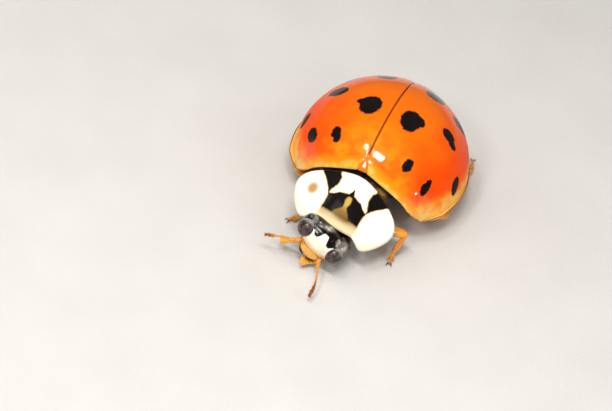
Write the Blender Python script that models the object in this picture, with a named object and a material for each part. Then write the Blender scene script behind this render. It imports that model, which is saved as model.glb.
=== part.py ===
"""A harlequin ladybird as a still, life-size museum model.

The head points along -Y, the beetle's left side is +X, and its feet stand on the floor at z = 0.
Numbers here are millimetres and degrees: make_solid turns them into metres.
Every solid keeps a hair's gap (GAP) to its neighbours, so that nothing overlaps.
"""

from math import cos, pi, radians, sin, sqrt

import bmesh
import bpy
from mathutils import Euler, Matrix, Vector

MM = 0.001
GAP = 0.03

# Wing cases: an ellipsoid dome cut off square in front, above a level rim.
DOME_HALF_WIDTH = 2.80
DOME_HALF_LENGTH = 2.94
DOME_HEIGHT = 2.54
DOME_CENTRE_Y = 1.70
DOME_FRONT = -2.34
RIM_HEIGHT = 1.00
RIM_FLARE = 0.12
RIM_THICKNESS = 0.10
SHELL_THICKNESS = 0.50
HOLLOW_END = 2.38
TAPER_START = 1.2           # from here to the tip the cross-sections stand closer together
TAPER_RINGS = 6
OUTER_STEPS = 10
INNER_STEPS = 8
SCUTELLUM_LENGTH = 0.34
SCUTELLUM_HALF_WIDTH = 0.19

# The body between the wing cases and the floor.
BELLY_DEPTH = 0.20
BODY_SPLIT = -0.45
COLLAR_FRONT = -2.62
COLLAR_HALF_WIDTH = 1.30
COLLAR_TOP = 2.24

# Pronotum: a curved shield, turned and tilted a little against the wing cases.
PRONOTUM_CENTRE = (0.08, -3.20, 2.12)
PRONOTUM_TURN = (-6.0, 30.0, 11.5)
PRONOTUM_ARCH_HALF_WIDTH = 1.88
PRONOTUM_ARCH_HEIGHT = 0.92
PRONOTUM_SLOPE = 0.069
PRONOTUM_THICKNESS = 0.34
PRONOTUM_EDGE = 0.07
PRONOTUM_TOP_RINGS = (0.2, 0.4, 0.6, 0.78, 0.9, 0.97, 1.0)      # shares of the outline
PRONOTUM_UNDER_RINGS = (0.985, 0.88, 0.7, 0.4)
PRONOTUM_OUTLINE = (
    (0.00, 0.66), (0.65, 0.52), (1.29, 0.22), (1.62, -0.05), (1.76, -0.40),
    (1.68, -0.84), (1.38, -1.19), (1.03, -1.30), (0.76, -1.16), (0.40, -1.10),
)
PROTHORAX_SCALE = 0.70
PROTHORAX_DEPTH = 0.95
PROTHORAX_LEAN = 0.40
PROTHORAX_LOW = 0.80
# (how deep, share of the outline) of the rings of the prothorax, from the top down
PROTHORAX_RINGS = ((0.0, 0.4), (0.0, 0.75), (0.0, 1.0), (0.35, 1.0), (0.7, 0.86), (0.92, 0.62), (1.0, 0.3))

# Head: rings along its own length, from the neck to the mouth, each as
# (place along the head, half width, top, bottom). Its own +Z is the way the face looks.
HEAD_CENTRE = (-0.20, -4.29, 1.06)
HEAD_TURN = (-20.5, 28.0, 29.5)
HEAD_RINGS = (
    (0.46, 0.26, -0.06, -0.26), (0.38, 0.42, 0.10, -0.36), (0.22, 0.56, 0.34, -0.44),
    (0.02, 0.66, 0.52, -0.48), (-0.18, 0.68, 0.57, -0.48), (-0.36, 0.62, 0.46, -0.44),
    (-0.50, 0.50, 0.28, -0.38), (-0.58, 0.40, 0.08, -0.32),
)

# Eyes: half ellipsoids on a flat of the head at EYE_SEAT from its middle; EYE_CENTRE is (y, z) there.
EYE_CENTRE = (-0.22, 0.18)
EYE_HALF_SIZE = (0.27, 0.31, 0.34)
EYE_SEAT = 0.56
EYE_SEAT_RADIUS = 0.42

# Tubes: a narrower ring a little before the start, and the rings of the rounded tip, each as
# (how far back from the end, how wide), all in shares of the tube's radius.
TUBE_SIDES = 10
TUBE_START = (0.3, 0.6)
TUBE_TIP = ((0.4, 1.0), (0.1, 0.75), (0.0, 0.4))

# Mouth plate and palps, in the head's own axes.
MOUTH_RINGS = (
    (-0.61, 0.34, 0.04, -0.22), (-0.68, 0.30, -0.03, -0.24), (-0.74, 0.20, -0.09, -0.24),
    (-0.77, 0.10, -0.13, -0.23),
)
PALP_RADII = (0.14, 0.21, 0.25)
PALP_SIDES = 8
PALP_LEFT = ((0.40, -0.62, -0.36), (0.30, -0.84, -0.42), (0.06, -1.07, -0.33))
PALP_RIGHT = ((-0.33, -0.54, -0.40), (-0.56, -0.72, -0.62), (-0.82, -0.86, -0.68))

# Feelers, in the head's own axes, from the socket to the club.
FEELER_RADIUS = 0.25
CLUB_RADIUS = 0.29
FEELER_LEFT = (
    (0.44, -0.66, 0.02), (0.56, -0.92, 0.24), (0.70, -1.09, 0.42), (0.79, -1.32, 0.49),
    (0.84, -1.50, 0.53), (0.93, -1.77, 0.60),
)
FEELER_RIGHT = (
    (-0.50, -0.64, -0.08), (-0.82, -0.83, -0.15), (-1.07, -0.99, -0.20), (-1.30, -1.18, -0.26),
)

# Legs: hip, knee, ankle and toe, about the middle of the wing cases, with heights above the floor.
JOINT_RADIUS = 0.23
LEG_SIDES = 10
LEG_SWELL = {"thigh": (0.5, 0.30), "shin": (0.65, 0.26), "foot": (0.45, 0.28)}
FOOT_TIP = ((0.8, 0.95), (0.95, 0.7), (1.0, 0.4))       # (share of the foot's length, of its radius)
MITRE_LIMIT = 1.1
LEGS = {
    "front_left": ((0.50, -2.75, 0.42), (1.97, -2.56, 0.84), (1.74, -2.84, 0.28), (1.80, -3.20, 0.22)),
    "front_right": ((-0.50, -2.75, 0.42), (-1.66, -2.42, 0.64), (-1.46, -3.06, 0.28), (-1.80, -3.40, 0.22)),
    "middle_left": ((1.00, -1.10, 0.40), (2.70, -0.97, 0.66), (2.50, -0.22, 0.28), (2.52, 0.40, 0.22)),
    "middle_right": ((-1.00, -1.10, 0.40), (-2.05, -1.80, 0.66), (-2.42, -0.95, 0.28), (-2.60, -0.30, 0.22)),
    "hind_left": ((0.80, 0.55, 0.38), (1.78, 1.32, 0.54), (2.50, 2.06, 0.28), (2.32, 2.84, 0.22)),
    "hind_right": ((-0.80, 0.55, 0.38), (-1.84, 1.26, 0.54), (-2.36, 2.02, 0.28), (-2.46, 2.72, 0.22)),
}


def clear_scene():
    for old in list(bpy.data.objects):
        bpy.data.objects.remove(old, do_unlink=True)


def make_material(name, colour, roughness):
    material = bpy.data.materials.new(name)
    material.use_nodes = True
    shader = material.node_tree.nodes["Principled BSDF"]
    shader.inputs["Base Color"].default_value = (*colour, 1.0)
    shader.inputs["Roughness"].default_value = roughness
    shader.inputs["Metallic"].default_value = 0.0
    return material


def make_frame(name, centre, turn):
    """An empty for the pieces that share one turned set of axes."""
    frame = bpy.data.objects.new(name, None)
    yaw, pitch, roll = (radians(angle) for angle in turn)
    frame.location = (centre[0] * MM, (centre[1] + DOME_CENTRE_Y) * MM, centre[2] * MM)
    frame.rotation_mode = "YXZ"
    frame.rotation_euler = Euler((pitch, roll, yaw), "YXZ")
    bpy.context.scene.collection.objects.link(frame)
    return frame


def frame_matrix(centre, turn):
    """The same turn and place as make_frame gives, in millimetres about the middle of the dome."""
    yaw, pitch, roll = (radians(angle) for angle in turn)
    return Matrix.Translation(centre) @ Euler((pitch, roll, yaw), "YXZ").to_matrix().to_4x4()


def make_solid(name, rings, material, frame=None):
    """Joins closed rings of points into one body and closes both ends with a fan."""
    mesh = bpy.data.meshes.new(name)
    shape = bmesh.new()
    loops = [[shape.verts.new(Vector(point)) for point in ring] for ring in rings]
    for one, two in zip(loops, loops[1:]):
        count = len(one)
        for i in range(count):
            j = (i + 1) % count
            shape.faces.new((one[i], one[j], two[j], two[i]))
    for loop in (loops[0], loops[-1]):
        middle = sum((vert.co for vert in loop), Vector()) / len(loop)
        tip = shape.verts.new(middle)
        for i in range(len(loop)):
            shape.faces.new((loop[i], loop[(i + 1) % len(loop)], tip))
    bmesh.ops.triangulate(shape, faces=shape.faces[:])
    bmesh.ops.recalc_face_normals(shape, faces=shape.faces[:])
    if shape.calc_volume(signed=True) < 0.0:
        bmesh.ops.reverse_faces(shape, faces=shape.faces[:])
    bmesh.ops.scale(shape, vec=(MM, MM, MM), verts=shape.verts[:])
    shape.to_mesh(mesh)
    shape.free()
    mesh.shade_smooth()
    mesh.set_sharp_from_angle(angle=radians(50))
    mesh.materials.append(material)
    solid = bpy.data.objects.new(name, mesh)
    if frame is None:
        solid.location = (0.0, DOME_CENTRE_Y * MM, 0.0)
    else:
        solid.parent = frame
    bpy.context.scene.collection.objects.link(solid)
    return solid


def dome_share(y):
    """How much of the dome's full width and height is left at y."""
    return sqrt(max(0.0, 1.0 - (y / DOME_HALF_LENGTH) ** 2))


def inner_size(y):
    """Half width and height of the hollow under the wing cases, which closes before their tip."""
    share = dome_share(y)
    if y > 0.0:
        share = sqrt(max(0.0, 1.0 - (y / (DOME_HALF_LENGTH - SHELL_THICKNESS)) ** 2))
        return (DOME_HALF_WIDTH - SHELL_THICKNESS) * share, (DOME_HEIGHT - SHELL_THICKNESS) * share
    return DOME_HALF_WIDTH * share - SHELL_THICKNESS, DOME_HEIGHT * share - SHELL_THICKNESS


def stations(start, end, count):
    """Evenly spaced places along the body."""
    return [start + (end - start) * i / (count - 1) for i in range(count)]


def taper(end):
    """Places from TAPER_START to the end, ever closer together."""
    steps = [sin(pi / 2 * i / TAPER_RINGS) for i in range(1, TAPER_RINGS + 1)]
    return [TAPER_START + (end - TAPER_START) * step for step in steps]


# ---- wing cases ----------------------------------------------------------------------------------


def inner_edge(y):
    """Where a wing case starts beside the seam: the two part in front, round the scutellum."""
    return GAP / 3 + max(0.0, (DOME_FRONT + SCUTELLUM_LENGTH - y) / SCUTELLUM_LENGTH) * SCUTELLUM_HALF_WIDTH


def wing_case_ring(y, side, hollow):
    """One cross-section of a wing case: outer arc, rim, inner arc."""
    share = dome_share(y)
    width, height = DOME_HALF_WIDTH * share, DOME_HEIGHT * share
    seam = min(inner_edge(y), 0.7 * width)
    flare = min(RIM_FLARE, 0.3 * width)
    lip = min(RIM_THICKNESS, 0.4 * height)
    points = []
    for i in range(OUTER_STEPS + 1):
        angle = pi / 2 * i / OUTER_STEPS
        across = seam + (width - flare - seam) * sin(angle)
        points.append((across, lip + (height - lip) * cos(angle)))
    points.append((width, lip * 0.9))
    points.append((width, 0.0))
    inner_width, inner_height = inner_size(min(y, HOLLOW_END))
    if not hollow:
        inner_width = min(inner_width, 0.8 * width)
        inner_height = min(inner_height, 0.8 * height)
    for i in range(INNER_STEPS + 1):
        share_left = 1.0 - i / INNER_STEPS
        if hollow:
            angle = pi / 2 * share_left
            points.append((seam + (inner_width - seam) * sin(angle), inner_height * cos(angle)))
        elif share_left > 0.5:
            points.append((seam + (inner_width - seam) * (2 * share_left - 1), 0.0))
        else:
            points.append((seam, inner_height * (1 - 2 * share_left)))
    return [(side * x, y, RIM_HEIGHT + z) for x, z in points]


def make_wing_case(name, side, material):
    open_part = stations(DOME_FRONT, TAPER_START, 13) + taper(HOLLOW_END)
    tail = DOME_HALF_LENGTH - 0.005
    closed_part = [tail - (tail - HOLLOW_END - GAP) * cos(pi / 2 * i / 7) ** 1.6 for i in range(8)]
    rings = [wing_case_ring(y, side, True) for y in open_part]
    rings += [wing_case_ring(y, side, False) for y in closed_part]
    make_solid(name, rings, material)


def make_scutellum(material):
    """The small three-sided plate in front between the wing cases."""
    rings = []
    for share in (0.0, 0.35, 0.65):
        y = DOME_FRONT + SCUTELLUM_LENGTH * share
        half = inner_edge(y) - 1.3 * GAP
        top = RIM_HEIGHT + DOME_HEIGHT * dome_share(y) - 0.05
        low = RIM_HEIGHT + DOME_HEIGHT * dome_share(y) - SHELL_THICKNESS
        rings.append([(half, y, low), (half, y, top - 0.03), (0.0, y, top), (-half, y, top - 0.03), (-half, y, low)])
    make_solid("scutellum", rings, material)


# ---- body ----------------------------------------------------------------------------------------


def body_ring(y, share_y):
    """A cross-section of the trunk: an arch inside the wing cases over a flat, rounded belly."""
    width, height = (size - 1.5 * GAP for size in inner_size(share_y))
    points = []
    steps = 14
    for i in range(steps):
        angle = pi * i / steps
        points.append((width * cos(angle), y, RIM_HEIGHT + height * sin(angle)))
    for i in range(steps):
        angle = pi + pi * i / steps
        bulge = abs(sin(angle)) ** 0.45
        points.append((width * cos(angle), y, RIM_HEIGHT - BELLY_DEPTH * min(1.0, 0.9 * width) * bulge))
    return points


def collar_ring(y):
    """The neck of the thorax, between the pronotum and the wing cases."""
    middle = (COLLAR_TOP + RIM_HEIGHT - BELLY_DEPTH) / 2
    half = COLLAR_TOP - middle
    steps = 28
    return [
        (COLLAR_HALF_WIDTH * cos(2 * pi * i / steps), y, middle + half * sin(2 * pi * i / steps))
        for i in range(steps)
    ]


def make_thorax(material):
    rings = [collar_ring(COLLAR_FRONT), collar_ring(DOME_FRONT - 3 * GAP), body_ring(DOME_FRONT - GAP, DOME_FRONT)]
    rings += [body_ring(y, y) for y in stations(DOME_FRONT, BODY_SPLIT - GAP, 12)]
    make_solid("thorax", rings, material)


def make_abdomen(material):
    places = stations(BODY_SPLIT, TAPER_START, 7) + taper(HOLLOW_END - 2 * GAP)
    rings = [body_ring(y, y) for y in places]
    make_solid("abdomen", rings, material)


# ---- pronotum and prothorax ----------------------------------------------------------------------


def smooth_loop(points, steps):
    """A closed curve through the points (Catmull-Rom), with the given steps between two of them."""
    count = len(points)
    loop = []
    for i in range(count):
        a, b, c, d = (Vector(points[(i + k - 1) % count]) for k in range(4))
        for k in range(steps):
            t = k / steps
            loop.append(0.5 * (2 * b + (c - a) * t + (2 * a - 5 * b + 4 * c - d) * t ** 2
                               + (3 * b - 3 * c + d - a) * t ** 3))
    return loop


def pronotum_loop():
    half = list(PRONOTUM_OUTLINE)
    front = (0.0, half[-1][1] - 0.005)
    other_half = [(-x, y) for x, y in reversed(half[1:])]
    return smooth_loop(half + [front] + other_half, 2)


def pronotum_top(x, y):
    arch = sqrt(max(0.05, 1.0 - (x / PRONOTUM_ARCH_HALF_WIDTH) ** 2))
    return PRONOTUM_ARCH_HEIGHT * (arch - 1.0) - PRONOTUM_SLOPE * y * y


def pronotum_underside(x, y, share):
    """The lower surface: thick in the middle, thin at the edge."""
    return pronotum_top(x, y) - PRONOTUM_EDGE - (PRONOTUM_THICKNESS - PRONOTUM_EDGE) * (1 - share ** 3)


def scaled(loop, share, middle_y=-0.3):
    return [(p.x * share, middle_y + (p.y - middle_y) * share) for p in loop]


def make_pronotum(material, frame):
    loop = pronotum_loop()
    rings = []
    for share in PRONOTUM_TOP_RINGS:
        rings.append([(x, y, pronotum_top(x, y) - 0.03 * (share == 1.0)) for x, y in scaled(loop, share)])
    for share in PRONOTUM_UNDER_RINGS:
        rings.append([(x, y, pronotum_underside(x, y, share)) for x, y in scaled(loop, share)])
    make_solid("pronotum", rings, material, frame)


def make_prothorax(material):
    """The fore trunk under the pronotum, cut flat where it meets the collar and the head."""
    loop = pronotum_loop()
    place = frame_matrix(PRONOTUM_CENTRE, PRONOTUM_TURN)
    head_place = frame_matrix(HEAD_CENTRE, HEAD_TURN)
    neck = HEAD_RINGS[0][0] + GAP
    rings = []
    for depth, share in PROTHORAX_RINGS:
        ring = []
        for x, y in scaled(loop, PROTHORAX_SCALE * share):
            z = pronotum_underside(x, y, PROTHORAX_SCALE * share) - GAP - depth * PROTHORAX_DEPTH
            point = place @ Vector((x, y - depth * PROTHORAX_LEAN, z))
            in_head = head_place.inverted() @ point
            in_head.y = max(in_head.y, neck)
            point = head_place @ in_head
            point.y = min(point.y, COLLAR_FRONT - GAP)
            point.z = max(point.z, PROTHORAX_LOW)
            ring.append(point)
        rings.append(ring)
    make_solid("prothorax", rings, material)


# ---- head ----------------------------------------------------------------------------------------


def head_ring(y, half_width, top, bottom, count=20):
    middle, half = (top + bottom) / 2, (top - bottom) / 2
    ring = []
    for i in range(count):
        angle = 2 * pi * i / count
        ring.append((half_width * cos(angle), y, middle + half * sin(angle)))
    return ring


def eye_plane(point, side):
    """Presses a point of the head back to the flat on which that side's eye sits."""
    x, y, z = point
    near = (y - EYE_CENTRE[0]) ** 2 + (z - EYE_CENTRE[1]) ** 2 < EYE_SEAT_RADIUS ** 2
    if near and side * x > EYE_SEAT:
        x = side * EYE_SEAT
    return (x, y, z)


def make_head(material, frame):
    rings = []
    for y, half_width, top, bottom in HEAD_RINGS:
        ring = head_ring(y, half_width, top, bottom)
        rings.append([eye_plane(eye_plane(point, 1), -1) for point in ring])
    make_solid("head", rings, material, frame)


def make_eye(name, side, material, frame):
    """Half an ellipsoid, flat where it meets the head."""
    width, length, height = EYE_HALF_SIZE
    rings = []
    for i in range(5):
        lift = sin(pi / 2 * i / 5)
        spread = sqrt(1.0 - lift * lift)
        ring = []
        for k in range(16):
            angle = 2 * pi * k / 16
            y = EYE_CENTRE[0] + length * spread * cos(angle)
            z = EYE_CENTRE[1] + height * spread * sin(angle)
            ring.append((side * (EYE_SEAT + GAP + width * lift), y, z))
        rings.append(ring)
    make_solid(name, rings, material, frame)


def make_mouth(material, frame):
    rings = [head_ring(*ring, count=16) for ring in MOUTH_RINGS]
    make_solid("mouth_plate", rings, material, frame)


# ---- tubes: palps, feelers and legs --------------------------------------------------------------


def plane_ring(centre, normal, along, radius, sides, end=0):
    """A ring round the direction along, slid along it onto the plane through centre.

    At the start (end = -1) or end (end = 1) of a segment the slide outwards is limited,
    so that a sharp joint doesn't run to a spike.
    """
    start = along.orthogonal().normalized()
    up = Vector((0, 0, 1)) - along * along.z
    if up.length > 0.2:
        start = up.normalized()
    other = along.cross(start)
    ring = []
    for i in range(sides):
        angle = 2 * pi * i / sides
        point = centre + (start * cos(angle) + other * sin(angle)) * radius
        slide = -(point - centre).dot(normal) / along.dot(normal)
        if end:
            slide = end * min(end * slide, MITRE_LIMIT * radius)
        ring.append(point + along * slide)
    return ring


def make_tube(name, path, radii, material, frame, sides=TUBE_SIDES):
    """A round-ended tube along a path."""
    points = [Vector(point) for point in path]
    rings = []
    last = len(points) - 1
    for i, point in enumerate(points):
        before = (points[i] - points[i - 1]).normalized() if i > 0 else None
        after = (points[i + 1] - points[i]).normalized() if i < last else None
        along = (before or after) if before is None or after is None else (before + after).normalized()
        if i == 0:
            rings.append(plane_ring(point, along, along, TUBE_START[1] * radii[0], sides))
            point = point + along * TUBE_START[0] * radii[0]
        for back, wide in (TUBE_TIP if i == last else ((0.0, 1.0),)):
            rings.append(plane_ring(point - along * back * radii[i], along, along, wide * radii[i], sides))
    make_solid(name, rings, material, frame)


def joint_planes(points):
    """The plane across each point of a leg, halfway between the segments that meet there."""
    normals = []
    for i, point in enumerate(points):
        before = (point - points[i - 1]).normalized() if i > 0 else (points[1] - point).normalized()
        after = (points[i + 1] - point).normalized() if i + 1 < len(points) else before
        normals.append((before + after).normalized())
    return normals


def segment_rings(start, start_normal, end, end_normal, swell):
    """One stretch of a leg between two joint planes, thickest where swell says."""
    along = (end - start).normalized()
    start = start + start_normal * GAP / 2
    end = end - end_normal * GAP / 2
    place, radius = swell
    rings = [plane_ring(start, start_normal, along, JOINT_RADIUS, LEG_SIDES, -1)]
    if (end - start).length > 3.5 * JOINT_RADIUS:
        rings.append(plane_ring(start.lerp(end, place), along, along, radius, LEG_SIDES))
    rings.append(plane_ring(end, end_normal, along, JOINT_RADIUS, LEG_SIDES, 1))
    return rings


def toe_rings(start, start_normal, end, swell):
    """The foot: it widens to its padded sole and runs out to a blunt tip."""
    along = (end - start).normalized()
    start = start + start_normal * GAP / 2
    place, radius = swell
    rings = [plane_ring(start, start_normal, along, JOINT_RADIUS, LEG_SIDES, -1)]
    for share, size in ((place, 1.0), *FOOT_TIP):
        rings.append(plane_ring(start.lerp(end, share), along, along, size * radius, LEG_SIDES))
    return rings


def make_leg(name, places, material, top):
    """Thigh, shin and foot as three solids; the thigh starts at the trunk, the foot lies flat on the floor."""
    hip, knee, ankle, toe = (Vector(place) for place in places)
    root = Vector((hip.x, hip.y, top - GAP))
    points = [root, hip, knee, ankle, toe]
    normals = joint_planes(points)
    upper = segment_rings(root, normals[0], hip, normals[1], (0.5, JOINT_RADIUS))
    thigh = upper[:-1] + segment_rings(hip, normals[1], knee, normals[2], LEG_SWELL["thigh"])
    shin = segment_rings(knee, normals[2], ankle, normals[3], LEG_SWELL["shin"])
    foot = toe_rings(ankle, normals[3], toe, LEG_SWELL["foot"])
    for part, rings, lowest in (("thigh", thigh, GAP), ("shin", shin, GAP), ("foot", foot, 0.0)):
        for point in (point for ring in rings for point in ring):
            point.z = max(lowest, point.z)
        make_solid(part + "_" + name, rings, material)


def main():
    clear_scene()
    orange = make_material("orange wing case", (0.90, 0.16, 0.01), 0.25)
    black = make_material("black chitin", (0.02, 0.015, 0.015), 0.3)
    cream = make_material("cream pronotum", (0.85, 0.78, 0.62), 0.35)
    eye = make_material("dark eye", (0.05, 0.03, 0.06), 0.2)
    amber = make_material("amber limb", (0.60, 0.25, 0.05), 0.4)

    make_wing_case("wing_case_left", 1, orange)
    make_wing_case("wing_case_right", -1, orange)
    make_scutellum(orange)
    make_thorax(black)
    make_abdomen(black)

    shield_frame = make_frame("shield_frame", PRONOTUM_CENTRE, PRONOTUM_TURN)
    make_pronotum(cream, shield_frame)
    make_prothorax(black)

    head_frame = make_frame("head_frame", HEAD_CENTRE, HEAD_TURN)
    make_head(black, head_frame)
    make_eye("eye_left", 1, eye, head_frame)
    make_eye("eye_right", -1, eye, head_frame)
    make_mouth(amber, head_frame)
    make_tube("palp_left", PALP_LEFT, PALP_RADII, amber, head_frame, PALP_SIDES)
    make_tube("palp_right", PALP_RIGHT, PALP_RADII, amber, head_frame, PALP_SIDES)
    for name, path in (("feeler_left", FEELER_LEFT), ("feeler_right", FEELER_RIGHT)):
        radii = [FEELER_RADIUS] * (len(path) - 1) + [CLUB_RADIUS]
        make_tube(name, path, radii, amber, head_frame)

    for name, places in LEGS.items():
        make_leg(name, places, amber, RIM_HEIGHT - BELLY_DEPTH)


main()
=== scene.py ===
# %% [markdown]
# # A harlequin ladybird, life size
#
# A ladybird is a hard-shelled beetle. It has two domed wing cases, a shield over the fore body (the
# pronotum), a small head with faceted eyes, and six jointed legs. Each hard plate is one piece here,
# because on the real animal each is one casting of chitin with its own colours. The packed CAD model
# says where everything stands, and this script dresses it.

# %% Load the frame
from math import cos, pi, radians, sin

import bmesh
import bpy
import numpy as np
from mathutils import Euler, Matrix, Vector, kdtree


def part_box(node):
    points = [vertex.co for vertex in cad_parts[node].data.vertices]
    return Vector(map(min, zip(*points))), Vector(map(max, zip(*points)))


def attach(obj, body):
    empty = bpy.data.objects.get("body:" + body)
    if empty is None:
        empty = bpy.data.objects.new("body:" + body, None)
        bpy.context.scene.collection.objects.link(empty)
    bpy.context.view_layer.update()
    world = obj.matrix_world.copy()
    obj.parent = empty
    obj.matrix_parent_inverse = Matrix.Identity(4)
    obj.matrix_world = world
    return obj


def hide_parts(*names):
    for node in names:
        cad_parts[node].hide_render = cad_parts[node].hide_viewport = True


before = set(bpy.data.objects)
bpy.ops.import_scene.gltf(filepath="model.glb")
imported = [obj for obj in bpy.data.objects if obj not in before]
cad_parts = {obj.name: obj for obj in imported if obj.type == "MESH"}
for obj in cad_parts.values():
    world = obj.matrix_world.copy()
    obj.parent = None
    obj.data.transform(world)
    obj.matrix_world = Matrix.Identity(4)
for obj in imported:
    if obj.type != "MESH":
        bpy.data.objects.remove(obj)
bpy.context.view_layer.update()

MM = 0.001

# %% [markdown]
# All shapes below are worked out in millimetres. The wing cases are the largest piece, so everything
# is measured from the middle of their dome. Its half width, height and rim come from the CAD box, and
# its length from the proportions of the species, which is a little longer than it is wide.

# %% The measures of the dome
case_low, case_high = (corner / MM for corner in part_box("wing_case_left"))
HALF_WIDTH = case_high.x
HALF_LENGTH = 1.05 * HALF_WIDTH
RIM = case_low.z
HEIGHT = case_high.z - RIM
MIDDLE = Vector((0.0, case_high.y - HALF_LENGTH, 0.0))
print(f"dome: {2 * HALF_WIDTH:.2f} mm wide, {HEIGHT:.2f} high over a rim at {RIM:.2f}")

# %% [markdown]
# ## Finishes
#
# A finish is a network of nodes. Written as sums, such as `1 - mask`, it is far easier to read than a
# list of links, so a wire here is an output socket on which arithmetic works: each sum adds one Math
# node. Colours and vectors never go through these sums, because a Math node would turn them grey.

# %% Wires that can be added and multiplied
class Wire:
    """An output socket of a finish."""

    def __init__(self, finish, socket):
        self.finish = finish
        self.socket = socket

    def math(self, operation, other=0.0, third=0.0):
        return self.finish.node("ShaderNodeMath", {"operation": operation}, {0: self, 1: other, 2: third})

    def __add__(self, other):
        return self.math("ADD", other)

    def __sub__(self, other):
        return self.math("SUBTRACT", other)

    def __rsub__(self, other):
        return self.math("MULTIPLY_ADD", -1.0, other)

    def __mul__(self, other):
        return self.math("MULTIPLY", other)

    def __abs__(self):
        return self.math("ABSOLUTE")

    __radd__ = __add__
    __rmul__ = __mul__

    def rise(self, low, high):
        """A mask: 0 at low, 1 at high, smooth between. It falls instead where low is the larger."""
        return self.finish.node(
            "ShaderNodeMapRange", {"interpolation_type": "SMOOTHSTEP"}, {0: self, 1: low, 2: high}
        )


print("a wire can:", ", ".join(name.strip("_") for name in vars(Wire) if callable(getattr(Wire, name))))

# %% [markdown]
# A finish holds one material. What is the same all over goes straight on the shader's own sockets,
# and what changes over the surface is wired. Every node is added by the one method `node`, and the
# others are short names for sets of nodes that many finishes share. Places are read in the piece's
# own axes, in millimetres, so that markings stay where they are when the piece turns.

# %% A finish and its nodes
class Finish:
    """One material, and short names for the nodes that it is made of."""

    def __init__(self, name, constants):
        self.material = bpy.data.materials.new(name)
        self.material.use_nodes = True
        self.tree = self.material.node_tree
        self.shader = self.tree.nodes["Principled BSDF"]
        for socket, value in constants.items():
            self.shader.inputs[socket].default_value = value

    def node(self, kind, settings=None, sockets=None, out=0):
        """Adds a node: first its settings, then the values or wires of its sockets."""
        node = self.tree.nodes.new(kind)
        for name, value in (settings or {}).items():
            setattr(node, name, value)
        for key, value in (sockets or {}).items():
            if isinstance(value, Wire):
                self.tree.links.new(value.socket, node.inputs[key])
            else:
                node.inputs[key].default_value = value
        return Wire(self, node.outputs[out])

    def feed(self, socket, wire):
        self.tree.links.new(wire.socket, self.shader.inputs[socket])

    def vector(self, operation, sockets, out=0):
        return self.node("ShaderNodeVectorMath", {"operation": operation}, sockets, out)

    def place(self):
        """The place on the piece, in its own axes and in millimetres."""
        return self.vector("SCALE", {0: self.node("ShaderNodeTexCoord", out="Object"), "Scale": 1 / MM})

    def flatten(self, place):
        """The place seen from above, without its height."""
        return self.vector("MULTIPLY", {0: place, 1: (1.0, 1.0, 0.0)})

    def split(self, vector):
        """The three parts of a vector, as wires of their own."""
        first = self.node("ShaderNodeSeparateXYZ", None, {0: vector})
        return [Wire(self, socket) for socket in first.socket.node.outputs]

    def length(self, vector, radii=None):
        """How long a vector is, counted in the radii of an ellipse if these are given."""
        if radii:
            vector = self.vector("DIVIDE", {0: vector, 1: radii})
        return self.vector("LENGTH", {0: vector}, "Value")

    def noise(self, place, scale, detail=2.0, out=0):
        sockets = {"Vector": place, "Scale": scale, "Detail": detail}
        return self.node("ShaderNodeTexNoise", None, sockets, out)

    def ragged(self, place, scale, amount):
        """The place, pushed about by a noise, so that an edge drawn with it is ragged."""
        push = self.vector("SUBTRACT", {0: self.noise(place, scale, out="Color"), 1: (0.5, 0.5, 0.5)})
        return self.vector("MULTIPLY_ADD", {0: push, 1: (amount,) * 3, 2: place})

    def pits(self, place, spacing):
        """Round pits a spacing apart: 1 between them and 0 in the middle of each."""
        far = self.node("ShaderNodeTexVoronoi", None, {"Vector": place, "Scale": 1 / spacing}, "Distance")
        return far.rise(0.05, 0.30)

    def mix(self, mask, low, high):
        """The colour low where the mask is 0, and high where it is 1."""
        return self.node("ShaderNodeMix", {"data_type": "RGBA"}, {0: mask, 6: low, 7: high}, 2)

    def bump(self, height, depth):
        """Relief of the given depth in millimetres."""
        self.feed("Normal", self.node("ShaderNodeBump", None, {"Height": height, "Distance": depth * MM}))


print("a finish can:", ", ".join(name for name in vars(Finish) if not name.startswith("_")))

# %% [markdown]
# Colours are easiest to choose as a screen shows them, from 0 to 255. A shader counts in light, where
# twice the number is twice the light, so each colour is turned into that first.

# %% Colours
def paint(red, green, blue):
    """A colour from its screen values, 0 to 255, as the shader's linear light."""
    shares = (value / 255 for value in (red, green, blue))
    return tuple(v / 12.92 if v <= 0.04045 else ((v + 0.055) / 1.055) ** 2.4 for v in shares) + (1.0,)


BLACK = paint(16, 9, 8)
print("middle grey on the screen is this share of full light:", round(paint(128, 128, 128)[0], 2))

# %% [markdown]
# Chitin is a clear, glossy plate over a coloured one, and light enters it a little way before it
# comes back. So every hard finish starts from the same recipe: a satin shader, a thin glossy coat
# over it, and some light scattered below the surface, at the scale of a beetle, which is tenths of a
# millimetre. Red goes furthest inside, which is what makes a thin orange plate glow at its edges.

# %% The recipe of chitin
SCATTER = (1.0, 0.55, 0.3)  # how far red, green and blue go inside, beside the depth of a plate


def chitin(name, colour, gloss=0.5, depth=0.0, rough=0.07):
    """gloss is how strong the clear coat is, and rough how much it blurs. depth is how far light
    travels inside, in millimetres: none in black plates, some in pale ones."""
    return Finish(name, {
        "Base Color": colour,
        "Roughness": 0.5,
        "Specular IOR Level": 0.05,
        "Coat Weight": gloss,
        "Coat IOR": 1.5,
        "Coat Roughness": rough,
        "Subsurface Weight": 0.35 if depth else 0.0,
        "Subsurface Scale": depth * MM,
        "Subsurface Radius": SCATTER,
    })


print("in chitin, red light goes", round(SCATTER[0] / SCATTER[2], 1), "times as far as blue")

# %% [markdown]
# ## Shapes
#
# Every visible shape is a grid of points: rows along the piece and columns across or around it. From
# such a grid a mesh is a loop over its squares. Sculpting or subdividing a rough cage would give soft
# forms too, but a grid keeps every outline where its numbers say. Where a row shrinks to one point,
# as at the tip of a leg, its points are merged. Several grids can be joined into one piece.

# %% Meshes from grids of points
MERGE_DISTANCE = 0.0004


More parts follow.
